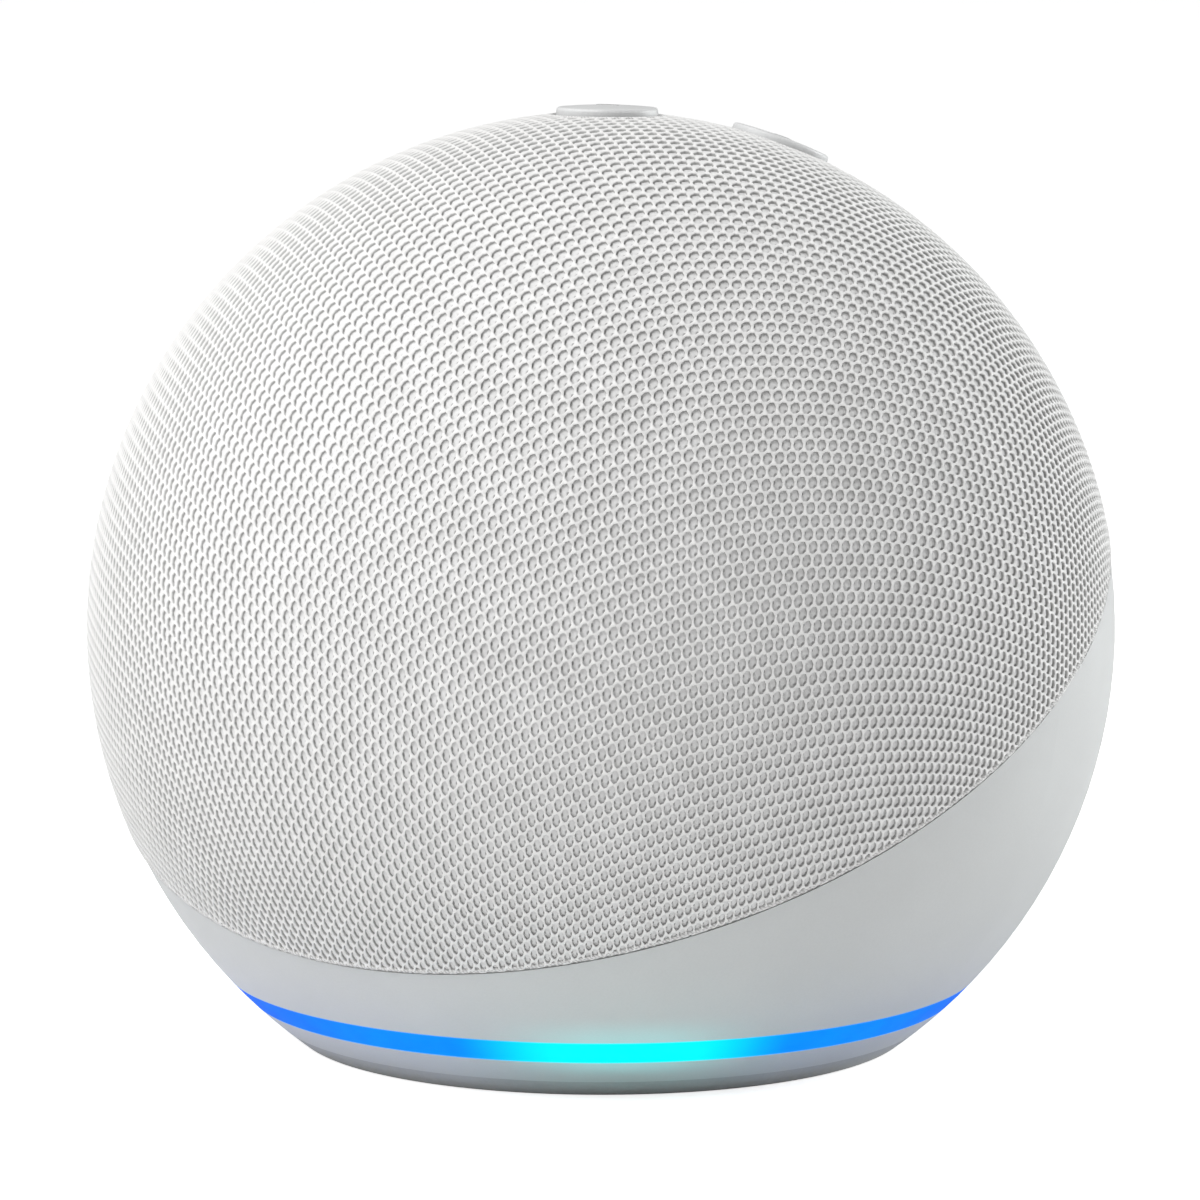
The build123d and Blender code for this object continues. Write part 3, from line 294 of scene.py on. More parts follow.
def make_piece(name, points, faces, body, material, flat=None, normals=None):
    """Puts points and equal-sided faces into a smooth mesh, with the flat cloth's coordinates as its UV map
    where given, and lets it ride on a body."""
    mesh = bpy.data.meshes.new(name)
    count, sides = faces.shape
    mesh.vertices.add(len(points))
    mesh.vertices.foreach_set("co", np.ascontiguousarray(points, np.float32).ravel())
    mesh.loops.add(count * sides)
    mesh.loops.foreach_set("vertex_index", np.ascontiguousarray(faces, np.int32).ravel())
    mesh.polygons.add(count)
    mesh.polygons.foreach_set("loop_start", np.arange(count, dtype=np.int32) * sides)
    mesh.update(calc_edges=True)
    mesh.polygons.foreach_set("use_smooth", np.ones(count, bool))
    if flat is not None:
        layer = mesh.uv_layers.new(name="Cloth")
        layer.data.foreach_set("uv", flat[faces.ravel()].astype(np.float32).ravel())
    if normals is not None:
        mesh.normals_split_custom_set_from_vertices(normals)
    mesh.materials.append(material)
    piece = bpy.data.objects.new(name, mesh)
    bpy.context.scene.collection.objects.link(piece)
    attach(piece, body)
    return piece


def thread_normals(direction, middle, crowns, sides):
    """The threads' shading normals. A crown looks straight out of the ball. A lip leans towards its opening's
    middle, and the foot of its wall leans further, so a thread looks round and its top flat."""
    toward = np.repeat(middle, sides, axis=0)
    toward = np.concatenate([toward, toward]) - direction[crowns:]
    toward /= np.maximum(np.linalg.norm(toward, axis=1), 1e-12)[:, None]
    lean = np.repeat([LIP_LEAN, WALL_LEAN], len(middle) * sides)[:, None]
    leaning = np.concatenate([direction[:crowns], direction[crowns:] + lean * toward])
    return leaning / np.linalg.norm(leaning, axis=1)[:, None]


def cell_centres(knit):
    """Whole-number places of the openings, in quarter pitches: every other place of a half-pitch grid that
    covers the cloth's disc."""
    reach = EDGE_ANGLE * CLOTH_RADIUS / (1 - 2 * EDGE_GATHER * EDGE_ANGLE ** 2)
    across, along = int(2 * reach / knit.pitch) + 2, int(2 * reach / knit.row_pair) + 2
    i, j = np.meshgrid(np.arange(-across, across + 1), np.arange(-along, along + 1), indexing="ij")
    chosen = (i + j) % 2 == 0
    return 2 * np.stack([i[chosen], j[chosen]], axis=1)


def merged(places):
    """The different whole-number places, and for each place its number among them."""
    span = int(np.abs(places).max()) + 1
    keys = (places[:, 0] + span) * (2 * span + 1) + places[:, 1] + span
    _, first, number = np.unique(keys, return_index=True, return_inverse=True)
    return places[first], number.reshape(-1)


def hole_angle(knit):
    """From a button's axis to the middle of the hem round it."""
    low, high = 2 * knit.hem_radius + HEM_CLEARANCE, CLOTH_RADIUS
    return math.asin((CAP_RADIUS + low) / high)


RIM = np.array([(2, 0), (1, 1), (0, 2), (-1, 1), (-2, 0), (-1, -1), (0, -2), (1, -1)])


def kept_cells(knit, scale):
    """The openings whose cell reaches past the cloth's edge or a button's rim only in part."""
    centres = cell_centres(knit)
    inside = np.zeros(len(centres), bool)
    for corner in RIM:
        _, moved = trimmed(wrap_cloth((centres + corner) * scale), hole_angle(knit))
        inside |= ~moved
    return centres[inside]


def opening_outline(knit):
    """Eight points round an opening: its two ends, its two sides, and four on the slants. A slant's point lies
    half a thread inside the line midway to the next opening, moved along that line towards the opening's
    end."""
    half = np.array([knit.pitch, knit.row_pair]) / 2
    toward = half / np.linalg.norm(half)
    midway = np.linalg.norm(half) / 2 - knit.thread / 2
    slant = midway * toward + knit.slant_shift * np.array([-toward[1], toward[0]])
    side, end = knit.opening_width / 2, knit.opening_length / 2
    quarter = np.array([[side, 0.0], slant, [0.0, end], [-slant[0], slant[1]]])
    return np.concatenate([quarter, -quarter])


def make_knit(knit, material):
    """The open knit in four quarters. Each cell is a diamond of the flat cloth that shares its rim with its
    neighbours. Its thread rises to a crown on the rim, falls to a lip round an oval opening, and goes down
    from there to the lining."""
    scale = np.array([knit.pitch, knit.row_pair]) / 4
    centres = kept_cells(knit, scale)
    cells, sides = len(centres), len(RIM)
    rim, rim_number = merged((centres[:, None] + RIM).reshape(-1, 2))
    opening = opening_outline(knit)
    middle = (centres * scale)[:, None]
    flat = np.concatenate([rim * scale, (middle + opening).reshape(-1, 2),
        (middle + FOOT_SPREAD * opening).reshape(-1, 2)])
    crown = CLOTH_RADIUS - np.where(rim[:, 0] % 2 == 0, CROSSING_DIP, 0.0)
    lip = np.full(cells * sides, CLOTH_RADIUS - knit.lip_drop)
    foot = np.full(cells * sides, GRILLE_RADIUS + knit.lining_rise)
    direction, _ = trimmed(wrap_cloth(flat), hole_angle(knit))
    points = on_ball(direction, np.concatenate([crown, lip, foot]))
    crown_ring = rim_number.reshape(cells, sides)
    lip_ring = len(rim) + np.arange(cells * sides).reshape(cells, sides)
    foot_ring = lip_ring + cells * sides

    def band(outer, inner):
        return np.stack([outer, np.roll(outer, -1, axis=1), np.roll(inner, -1, axis=1), inner], axis=-1)

    faces = np.concatenate([band(crown_ring, lip_ring), band(lip_ring, foot_ring)], axis=1)
    normals = thread_normals(direction, wrap_cloth(centres * scale), len(rim), sides)
    left, high = centres[:, 0] < 0, centres[:, 1] >= 0
    quarters = {"knit_left_low": left & ~high, "knit_left_high": left & high, "knit_right_low": ~left & ~high,
        "knit_right_high": ~left & high}
    pieces = []
    for name, chosen in quarters.items():
        own = faces[chosen].reshape(-1, 4)
        used, number = np.unique(own, return_inverse=True)
        lattice = flat[used] / (4 * scale)
        piece = make_piece(name, points[used], number.reshape(-1, 4), "root", material, lattice,
            normals[used])
        pieces.append(piece)
    return pieces


def make_lining(knit, material):
    """The cloth under the knit: four triangles to a cell, from the cell's corners up to a small swelling in its
    middle."""
    scale = np.array([knit.pitch, knit.row_pair]) / 4
    centres = kept_cells(knit, scale)
    corners, number = merged((centres[:, None] + RIM[::2]).reshape(-1, 2))
    flat = np.concatenate([corners, centres]) * scale
    level = GRILLE_RADIUS + knit.lining_rise
    radius = np.concatenate([np.full(len(corners), level), np.full(len(centres), level + knit.pad_rise)])
    direction, _ = trimmed(wrap_cloth(flat), hole_angle(knit))
    ring = number.reshape(-1, 4)
    middle = np.repeat(len(corners) + np.arange(len(centres)), 4)
    faces = np.stack([middle, ring.ravel(), np.roll(ring, -1, axis=1).ravel()], axis=1)
    return make_piece("fabric_lining", on_ball(direction, radius), faces, "root", material,
        flat / (4 * scale))


def round_band(name, axis, angle, middle, thickness, squash, steps, material):
    """A rolled edge: an oval profile carried round a circle of the ball, standing out from the ball and along
    it."""
    aside = np.cross(axis, [1.0, 0.0, 0.0])
    aside /= np.linalg.norm(aside)
    other = np.cross(axis, aside)
    turn = np.linspace(0, 2 * math.pi, steps, endpoint=False)[:, None]
    round_it = np.cos(turn) * aside + np.sin(turn) * other
    out = math.cos(angle) * axis + math.sin(angle) * round_it
    along = -math.sin(angle) * axis + math.cos(angle) * round_it
    section = np.linspace(0, 2 * math.pi, 12, endpoint=False)
    rise = middle + thickness * np.sin(section)
    shift = squash * thickness * np.cos(section)
    points = out[:, None] * rise[:, None] + along[:, None] * shift[:, None]
    faces = grid_faces(steps, len(section), True, True)[:, ::-1]
    length = np.broadcast_to(turn * math.sin(angle) * CLOTH_RADIUS / MM, (steps, len(section)))
    flat = np.stack([length, np.broadcast_to(section, length.shape)], axis=-1).reshape(-1, 2)
    return make_piece(name, CENTRE + points.reshape(-1, 3), faces, "root", material, flat)


def stroke(path, width, rise, closed):
    """One raised stroke in a button's own plane. A rounded profile is carried along the path, and at open ends
    it shrinks to nothing on a half circle. Gives points as across, up and height, and their faces."""
    step = np.roll(path, -1, axis=0) - np.roll(path, 1, axis=0)
    if not closed:
        step[0], step[-1] = path[1] - path[0], path[-1] - path[-2]
    step /= np.linalg.norm(step, axis=1)[:, None]
    normal = np.stack([-step[:, 1], step[:, 0]], axis=1)
    size = np.ones(len(path))
    if not closed:
        gone = np.minimum(np.linalg.norm(path - path[0], axis=1), np.linalg.norm(path - path[-1], axis=1))
        size = np.sqrt(np.clip(1 - (1 - np.minimum(gone / (width / 2), 1)) ** 2, 0, 1))
    section = np.linspace(0, math.pi, 9)
    shift = np.sign(np.cos(section)) * np.abs(np.cos(section)) ** 0.6 * width / 2
    height = np.sin(section) ** 0.6 * rise
    place = path[:, None] + normal[:, None] * (shift[:, None] * size[:, None, None])
    tall = np.broadcast_to(height, place.shape[:2]) * size[:, None] - 0.02 * MM
    points = np.concatenate([place, tall[..., None]], axis=-1).reshape(-1, 3)
    return points, grid_faces(len(path), len(section), closed, False)


def line(start, end, steps=24):
    """Places along a straight stroke, closer together at its ends."""
    share = (1 - np.cos(np.linspace(0, math.pi, steps))) / 2
    return np.array(start) + share[:, None] * (np.array(end) - np.array(start))


def circle(radius, steps=64):
    """Places round a circle."""
    turn = np.linspace(0, 2 * math.pi, steps, endpoint=False)
    return radius * np.stack([np.cos(turn), np.sin(turn)], axis=1)


def make_mark(button, strokes, marks, material):
    """A button's sign: its strokes laid on the cap, whose top is part of a ball round the speaker's centre."""
    axis = BUTTON_AXES[button]
    up = UP_THE_BACK - (UP_THE_BACK @ axis) * axis
    up /= np.linalg.norm(up)
    right = np.cross(up, axis)
    points, faces, count = [], [], 0
    for path, closed in strokes:
        place, quads = stroke(path, marks.width, marks.rise, closed)
        out = np.sqrt(CAP_TOP**2 - place[:, 0] ** 2 - place[:, 1] ** 2) + place[:, 2]
        points.append(place[:, :1] * right + place[:, 1:2] * up + out[:, None] * axis)
        faces.append(quads[:, ::-1] + count)
        count += len(place)
    name = button.replace("_button", "_mark")
    return make_piece(name, CENTRE + np.concatenate(points), np.concatenate(faces), button,
        material)


# ---------------------------------------------------------------- shader helpers


def node(tree, kind, settings=None, **inputs):
    """Adds a node. Settings are its own values; inputs are numbers, colours or sockets, by the input's name
    with _ for a space."""
    made = tree.nodes.new(kind)
    made.location = (180 * (len(tree.nodes) % 9), -220 * (len(tree.nodes) // 9))
    for name, value in (settings or {}).items():
        setattr(made, name, value)
    for name, value in inputs.items():
        feed(tree, made.inputs[name.replace("_", " ")], value)
    return made


def feed(tree, socket, value):
    """Links a socket to an input, or sets the input's value."""
    if isinstance(value, bpy.types.NodeSocket):
        tree.links.new(value, socket)
    else:
        socket.default_value = value


def calc(tree, operation, *values, clamp=False):
    """A Math node's result."""
    made = node(tree, "ShaderNodeMath", {"operation": operation, "use_clamp": clamp})
    for socket, value in zip(made.inputs, values):
        feed(tree, socket, value)
    return made.outputs[0]


def blend_colour(tree, factor, first, second, kind="MIX"):
    """A Mix node's colour."""
    made = node(tree, "ShaderNodeMix", {"data_type": "RGBA", "blend_type": kind})
    for index, value in ((0, factor), (6, first), (7, second)):
        feed(tree, made.inputs[index], value)
    return made.outputs[2]


def remap(tree, value, low, high, to_low=0.0, to_high=1.0):
    """A value's range carried to another range, held at its ends, with a soft start and stop."""
    made = node(tree, "ShaderNodeMapRange", {"interpolation_type": "SMOOTHSTEP"}, Value=value)
    for name, number in (("From Min", low), ("From Max", high), ("To Min", to_low), ("To Max", to_high)):
        made.inputs[name].default_value = number
    return made.outputs[0]


def rgba(colour):
    """A colour with full alpha."""
    return (*colour[:3], 1.0)


def shader_group(name, sockets_in, sockets_out):
    """An empty shader node group with named inputs, given as name, kind and default, and outputs, given as name
    and kind."""
    tree = bpy.data.node_groups.new(name, "ShaderNodeTree")
    for label, kind, default in sockets_in:
        made = tree.interface.new_socket(name=label, in_out="INPUT", socket_type=kind)
        if default is not None:
            made.default_value = default
    for label, kind in sockets_out:
        tree.interface.new_socket(name=label, in_out="OUTPUT", socket_type=kind)
    return tree, tree.nodes.new("NodeGroupInput").outputs, tree.nodes.new("NodeGroupOutput").inputs


FLOAT, VECTOR = "NodeSocketFloat", "NodeSocketVector"


def noise(tree, vector, scale, detail=3.0, roughness=0.55):
    """A noise texture's value."""
    return node(tree, "ShaderNodeTexNoise", Vector=vector, Scale=scale, Detail=detail,
        Roughness=roughness).outputs[0]


def build_grain_group():
    """Moulded grain: a fine noise for the surface's height, with a broad noise that changes its tone
    slightly."""
    tree, given, result = shader_group("Moulded grain", (("Vector", VECTOR, None), ("Scale", FLOAT, 4000.0)),
        (("Tone", FLOAT), ("Height", FLOAT)))
    fine = noise(tree, given["Vector"], given["Scale"], 2.0)
    broad = noise(tree, given["Vector"], 60.0, 3.0)
    feed(tree, result["Tone"],
        calc(tree, "ADD", calc(tree, "MULTIPLY", fine, 0.3), calc(tree, "MULTIPLY", broad, 0.7)))
    feed(tree, result["Height"], fine)


def build_handling_group():
    """Handling: faint smears where the surface has been touched, which change how it shines."""
    tree, given, result = shader_group("Handling", (("Vector", VECTOR, None), ("Amount", FLOAT, 0.1)),
        (("Smear", FLOAT),))
    stretch = node(tree, "ShaderNodeMapping", Vector=given["Vector"])
    stretch.inputs["Scale"].default_value = (1.0, 0.35, 1.0)
    patch = remap(tree, noise(tree, stretch.outputs[0], 90.0, 5.0, 0.6), 0.42, 0.7)
    feed(tree, result["Smear"], calc(tree, "MULTIPLY", patch, given["Amount"]))


def build_dust_group():
    """Settled dust: specks on what faces up."""
    tree, given, result = shader_group("Settled dust", (("Vector", VECTOR, None), ("Amount", FLOAT, 0.1)),
        (("Mask", FLOAT),))
    normal = node(tree, "ShaderNodeNewGeometry").outputs["Normal"]
    up = node(tree, "ShaderNodeSeparateXYZ", Vector=normal).outputs["Z"]
    specks = remap(tree, noise(tree, given["Vector"], 1800.0, 2.0), 0.56, 0.72)
    facing = calc(tree, "MULTIPLY", remap(tree, up, 0.1, 0.9), specks)
    feed(tree, result["Mask"], calc(tree, "MULTIPLY", facing, given["Amount"]))


def build_yarn_group():
    """Yarn: fine fibres that wander along the thread, with a slow change of tone from thread to thread."""
    tree, given, result = shader_group("Yarn", (("Vector", VECTOR, None), ("Scale", FLOAT, 9.0)),
        (("Tone", FLOAT), ("Height", FLOAT)))
    slant = node(tree, "ShaderNodeMapping", Vector=given["Vector"])
    slant.inputs["Rotation"].default_value = (0.0, 0.0, math.radians(38))
    slant.inputs["Scale"].default_value = (1.0, 3.2, 1.0)
    fibre = noise(tree, slant.outputs[0], given["Scale"], 3.0, 0.65)
    patch = noise(tree, given["Vector"], 0.35, 2.0)
    feed(tree, result["Tone"],
        calc(tree, "ADD", calc(tree, "MULTIPLY", fibre, 0.6), calc(tree, "MULTIPLY", patch, 0.4)))
    feed(tree, result["Height"], fibre)


def build_lines_group():
    """Parallel lines along one direction, as on turned, brushed or wound metal and in woven cloth."""
    tree, given, result = shader_group("Lines",
        (("Vector", VECTOR, None), ("Scale", FLOAT, 900.0), ("Distortion", FLOAT, 0.5)), (("Mask", FLOAT),))
    wave = node(tree, "ShaderNodeTexWave", {"wave_type": "BANDS", "bands_direction": "X"},
        Vector=given["Vector"], Scale=given["Scale"], Distortion=given["Distortion"])
    feed(tree, result["Mask"], wave.outputs[1])


def group(tree, name, **inputs):
    """A shared shader group's outputs in a material."""
    made = tree.nodes.new("ShaderNodeGroup")
    made.node_tree = bpy.data.node_groups[name]
    made.location = (180 * (len(tree.nodes) % 9), -220 * (len(tree.nodes) // 9))
    for label, value in inputs.items():
        feed(tree, made.inputs[label], value)
    return made.outputs


def new_material(name, **values):
    """A material with one Principled shader, its plain values set on its own sockets. Gives the material, its
    tree, the shader and the piece's own coordinates."""
    material = bpy.data.materials.new(name)
    material.use_nodes = True
    tree = material.node_tree
    shader = tree.nodes["Principled BSDF"]
    for label, value in values.items():
        shader.inputs[label.replace("_", " ")].default_value = value
    place = node(tree, "ShaderNodeTexCoord").outputs["Object"]
    return material, tree, shader, place


def emboss(tree, shader, height, distance, strength=0.5):
    """A height worked into the shader's normal."""
    bump = node(tree, "ShaderNodeBump", Height=height, Distance=distance, Strength=strength)
    feed(tree, shader.inputs["Normal"], bump.outputs[0])


def tint(colour, share):
    """A colour made lighter or darker by a share."""
    return rgba([min(max(channel * share, 0.0), 1.0) for channel in colour])


# ---------------------------------------------------------------- finishes


def thread_finish(colours):
    """White yarn with fine fibres and a soft sheen, and painted shade that greys it down the walls of the
    openings.
    """
    material, tree, shader, place = new_material("knit_thread", Roughness=0.85, Sheen_Weight=0.12,
        Sheen_Roughness=0.4, Specular_IOR_Level=0.25)
    cloth = node(tree, "ShaderNodeUVMap", {"uv_map": "Cloth"}).outputs[0]
    yarn = group(tree, "Yarn", Vector=cloth, Scale=9.0)
    shade = remap(tree, yarn["Tone"], 0.3, 0.7)
    white = blend_colour(tree, shade, tint(colours.thread, 0.95), tint(colours.thread, 1.03))
    # Painted shade: the walls below the crown are darkened towards the hollow-shade colour, darker the deeper they
    # lie.
    reach = node(tree, "ShaderNodeVectorMath", {"operation": "DISTANCE"}, Vector=place)
    reach.inputs[1].default_value = tuple(CENTRE)
    darkest, lightest = CLOTH_RADIUS - 0.2 * MM, CLOTH_RADIUS - 0.06 * MM
    depth = remap(tree, reach.outputs["Value"], darkest, lightest, 0.6, 0.0)
    feed(tree, shader.inputs["Base Color"], blend_colour(tree, depth, white, rgba(colours.hollow_shade)))
    feed(tree, shader.inputs["Roughness"], remap(tree, yarn["Height"], 0.2, 0.8, 0.78, 0.92))
    emboss(tree, shader, yarn["Height"], 0.03 * MM, 0.6)
    return material


def lining_finish(colours):
    """The cloth under the knit. Each cell has a pale middle with painted shade in the hollows on its left and
    right: a power of the sine across the row times a power of the cosine along it."""
    material, tree, shader, _ = new_material("lining_cloth", Roughness=0.9, Sheen_Weight=0.1,
        Specular_IOR_Level=0.2)
    cloth = node(tree, "ShaderNodeUVMap", {"uv_map": "Cloth"}).outputs[0]
    wander = noise(tree, cloth, 0.9, 2.0)
    split = node(tree, "ShaderNodeSeparateXYZ", Vector=cloth).outputs
    full_turn = 2 * math.pi
    across = calc(tree, "SINE", calc(tree, "MULTIPLY", split["X"], full_turn))
    lean = calc(tree, "ADD", calc(tree, "MULTIPLY", split["Y"], full_turn), calc(tree, "MULTIPLY", wander, 0.8))
    along = calc(tree, "COSINE", lean)
    hollow_shade = calc(tree, "MULTIPLY", calc(tree, "POWER", calc(tree, "ABSOLUTE", across), 2.2),
        calc(tree, "POWER", calc(tree, "ABSOLUTE", along), 1.2))
    yarn = group(tree, "Yarn", Vector=cloth, Scale=14.0)
    shade = blend_colour(tree, remap(tree, yarn["Tone"], 0.3, 0.7), tint(colours.lining, 0.85),
        tint(colours.lining, 1.08))
    # Painted shade: the hollows beside each pad are darkened towards the hollow-shade colour, and the same mask
    # sinks the bump there.
    depth = remap(tree, hollow_shade, 0.3, 0.85, 0.0, 0.85)
    feed(tree, shader.inputs["Base Color"], blend_colour(tree, depth, shade, rgba(colours.hollow_shade)))
    height = calc(tree, "SUBTRACT", calc(tree, "MULTIPLY", yarn["Height"], 0.4), depth)
    emboss(tree, shader, height, 0.08 * MM, 0.7)
    return material


def hem_finish(colours):
    """The rolled edge: the knit's yarn drawn tight in slanting ridges, darkened by painted shade, most between the
    ridges.
    """
    material, tree, shader, _ = new_material("hem_yarn", Roughness=0.88, Sheen_Weight=0.1,
        Specular_IOR_Level=0.2)
    cloth = node(tree, "ShaderNodeUVMap", {"uv_map": "Cloth"}).outputs[0]
    split = node(tree, "ShaderNodeSeparateXYZ", Vector=cloth).outputs
    slant = calc(tree, "ADD", calc(tree, "MULTIPLY", split["X"], 9.0), split["Y"])
    ridge = calc(tree, "ABSOLUTE", calc(tree, "SINE", slant))
    yarn = group(tree, "Yarn", Vector=cloth, Scale=6.0)
    # Painted shade: the thread's colour darkened for the shadow line along the hem, and darker still between the
    # ridges.
    feed(tree, shader.inputs["Base Color"],
        blend_colour(tree, ridge, tint(colours.thread, 0.62), tint(colours.thread, 0.9)))
    emboss(tree, shader, calc(tree, "ADD", ridge, calc(tree, "MULTIPLY", yarn["Height"], 0.4)), 0.05 * MM, 0.7)
    return material


def around(tree, place, turn):
    """How far round the base a point lies from the ring's bright part, in radians from 0 to half a turn."""
    split = node(tree, "ShaderNodeSeparateXYZ", Vector=place).outputs
    angle = calc(tree, "ARCTAN2", split["X"], calc(tree, "MULTIPLY", split["Y"], -1.0))
    gap = calc(tree, "SUBTRACT", angle, turn)
    wrapped = calc(tree, "WRAP", gap, math.pi, -math.pi)
    return calc(tree, "ABSOLUTE", wrapped), split["Z"]


def light_finish(colours):
    """The lit ring: bright in one part, fading to blue round the base, with a thin pale line at its two edges
    and a milky surface."""
    material, tree, shader, place = new_material("lit_diffuser", Roughness=0.5, Emission_Strength=1.0,
        Specular_IOR_Level=0.04)
    gap, height = around(tree, place, colours.light_turn)
    side = remap(tree, gap, math.radians(9), math.radians(27))
    end = remap(tree, gap, math.radians(30), math.radians(80))
    colour = blend_colour(tree, side, rgba(colours.light_middle), rgba(colours.light_side))
    colour = blend_colour(tree, end, colour, rgba(colours.light_end))
    milk = noise(tree, place, 500.0, 3.0)
    colour = blend_colour(tree, remap(tree, milk, 0.3, 0.7, 0.0, 0.06), colour, (0.0, 0.6, 1.0, 1.0))
    edge_line = 0.14 * MM
    low_edge = remap(tree, height, RING_LOW, RING_LOW + edge_line, 1.0, 0.0)
    high_edge = remap(tree, height, RING_TOP - edge_line, RING_TOP, 0.0, 1.0)
    pale = calc(tree, "MULTIPLY", calc(tree, "MAXIMUM", low_edge, high_edge), 0.45)
    feed(tree, shader.inputs["Emission Color"], blend_colour(tree, pale, colour, (0.35, 0.75, 1.0, 1.0)))
    feed(tree, shader.inputs["Base Color"], blend_colour(tree, 0.97, colour, (0.0, 0.01, 0.02, 1.0)))
    grain = group(tree, "Moulded grain", Vector=place, Scale=5000.0)
    emboss(tree, shader, grain["Height"], 0.01 * MM, 0.2)
    return material


def housing_finish(colours):
    """Cool light grey moulded plastic with a fine satin grain, faint smears, and a painted glow of the ring's
    light on it beside the ring's bright part."""
    material, tree, shader, place = new_material("housing_satin", Roughness=0.36, Emission_Strength=1.0,
        Coat_Weight=0.0, Specular_IOR_Level=0.45)
    grain = group(tree, "Moulded grain", Vector=place, Scale=4200.0)
    smear = group(tree, "Handling", Vector=place, Amount=0.08)
    dust = group(tree, "Settled dust", Vector=place, Amount=0.12)
    base = blend_colour(tree, remap(tree, grain["Tone"], 0.3, 0.7), tint(colours.plastic, 0.97),
        tint(colours.plastic, 1.03))
    base = blend_colour(tree, dust["Mask"], base, (0.8, 0.79, 0.77, 1.0))
    feed(tree, shader.inputs["Base Color"], base)
    rough = calc(tree, "ADD", remap(tree, grain["Tone"], 0.2, 0.8, 0.33, 0.4), smear["Smear"])
    feed(tree, shader.inputs["Roughness"], rough)
    # Painted light: an emission in the ring's colour just above and below the ring, strongest beside its bright
    # part, stands for the ring's light falling on the plastic.
    gap, height = around(tree, place, colours.light_turn)
    above = remap(tree, height, RING_TOP, RING_TOP + 3.2 * MM, 1.0, 0.0)
    below = remap(tree, height, RING_LOW - 1.8 * MM, RING_LOW, 0.0, 1.0)
    near = calc(tree, "MULTIPLY", above, below)
    bright = calc(tree, "MULTIPLY", near, remap(tree, gap, math.radians(2), math.radians(22), 0.16, 0.0))
    feed(tree, shader.inputs["Emission Color"],
        blend_colour(tree, bright, (0.0, 0.0, 0.0, 1.0), rgba(colours.light_middle)))
    emboss(tree, shader, grain["Height"], 0.012 * MM, 0.35)
    return material


def moulded_finish(name, colour, roughness, scale=3000.0, depth=0.015, dust_amount=0.05, coat=0.0):
    """Plain moulded plastic or rubber: grain, smears and a little dust."""
    material, tree, shader, place = new_material(name, Roughness=roughness, Coat_Weight=coat)
    grain = group(tree, "Moulded grain", Vector=place, Scale=scale)
    smear = group(tree, "Handling", Vector=place, Amount=0.1)
    dust = group(tree, "Settled dust", Vector=place, Amount=dust_amount)
    base = blend_colour(tree, remap(tree, grain["Tone"], 0.3, 0.7), tint(colour, 0.93), tint(colour, 1.06))
    feed(tree, shader.inputs["Base Color"], blend_colour(tree, dust["Mask"], base, (0.6, 0.59, 0.57, 1.0)))
    feed(tree, shader.inputs["Roughness"], calc(tree, "ADD", smear["Smear"], roughness - 0.04))
    emboss(tree, shader, grain["Height"], depth * MM, 0.5)
    return material


def metal_finish(name, colour, roughness, scale=700.0, stretch=(1.0, 1.0, 0.05), metallic=1.0):
    """Metal with fine drawn lines, small dark spots and smears."""
    material, tree, shader, place = new_material(name, Roughness=roughness, Metallic=metallic)
    turned = node(tree, "ShaderNodeMapping", Vector=place)
    turned.inputs["Scale"].default_value = stretch
    lines = noise(tree, turned.outputs[0], scale * 4, 4.0, 0.7)
    spots = remap(tree, noise(tree, place, scale, 4.0), 0.6, 0.78)
    smear = group(tree, "Handling", Vector=place, Amount=0.15)
    base = blend_colour(tree, remap(tree, lines, 0.3, 0.7), tint(colour, 0.86), tint(colour, 1.08))
    feed(tree, shader.inputs["Base Color"], blend_colour(tree, spots, base, tint(colour, 0.6)))
    rough = calc(tree, "ADD", remap(tree, lines, 0.3, 0.7, roughness - 0.06, roughness + 0.08), smear["Smear"])
    feed(tree, shader.inputs["Roughness"], rough)
    emboss(tree, shader, lines, 0.01 * MM, 0.4)
    return material


def woven_finish(name, colour, roughness, scale, depth=0.04):
    """Woven or wound stuff: two sets of lines square to each other, over fibres."""
    material, tree, shader, place = new_material(name, Roughness=roughness, Sheen_Weight=0.1)
    warp = group(tree, "Lines", Vector=place, Scale=scale, Distortion=0.6)
    turned = node(tree, "ShaderNodeMapping", Vector=place)
    turned.inputs["Rotation"].default_value = (0.0, math.radians(90), 0.0)
    weft = group(tree, "Lines", Vector=turned.outputs[0], Scale=scale, Distortion=0.6)
    over = calc(tree, "MULTIPLY", warp["Mask"], weft["Mask"])
    grain = group(tree, "Moulded grain", Vector=place, Scale=3500.0)
    shade = calc(tree, "ADD", calc(tree, "MULTIPLY", over, 0.6), calc(tree, "MULTIPLY", grain["Tone"], 0.5))
    feed(tree, shader.inputs["Base Color"], blend_colour(tree, shade, tint(colour, 0.7), tint(colour, 1.15)))
    feed(tree, shader.inputs["Roughness"], remap(tree, over, 0.0, 1.0, roughness + 0.05, roughness - 0.05))
    emboss(tree, shader, calc(tree, "ADD", over, calc(tree, "MULTIPLY", grain["Height"], 0.3)), depth * MM, 0.6)
    return material


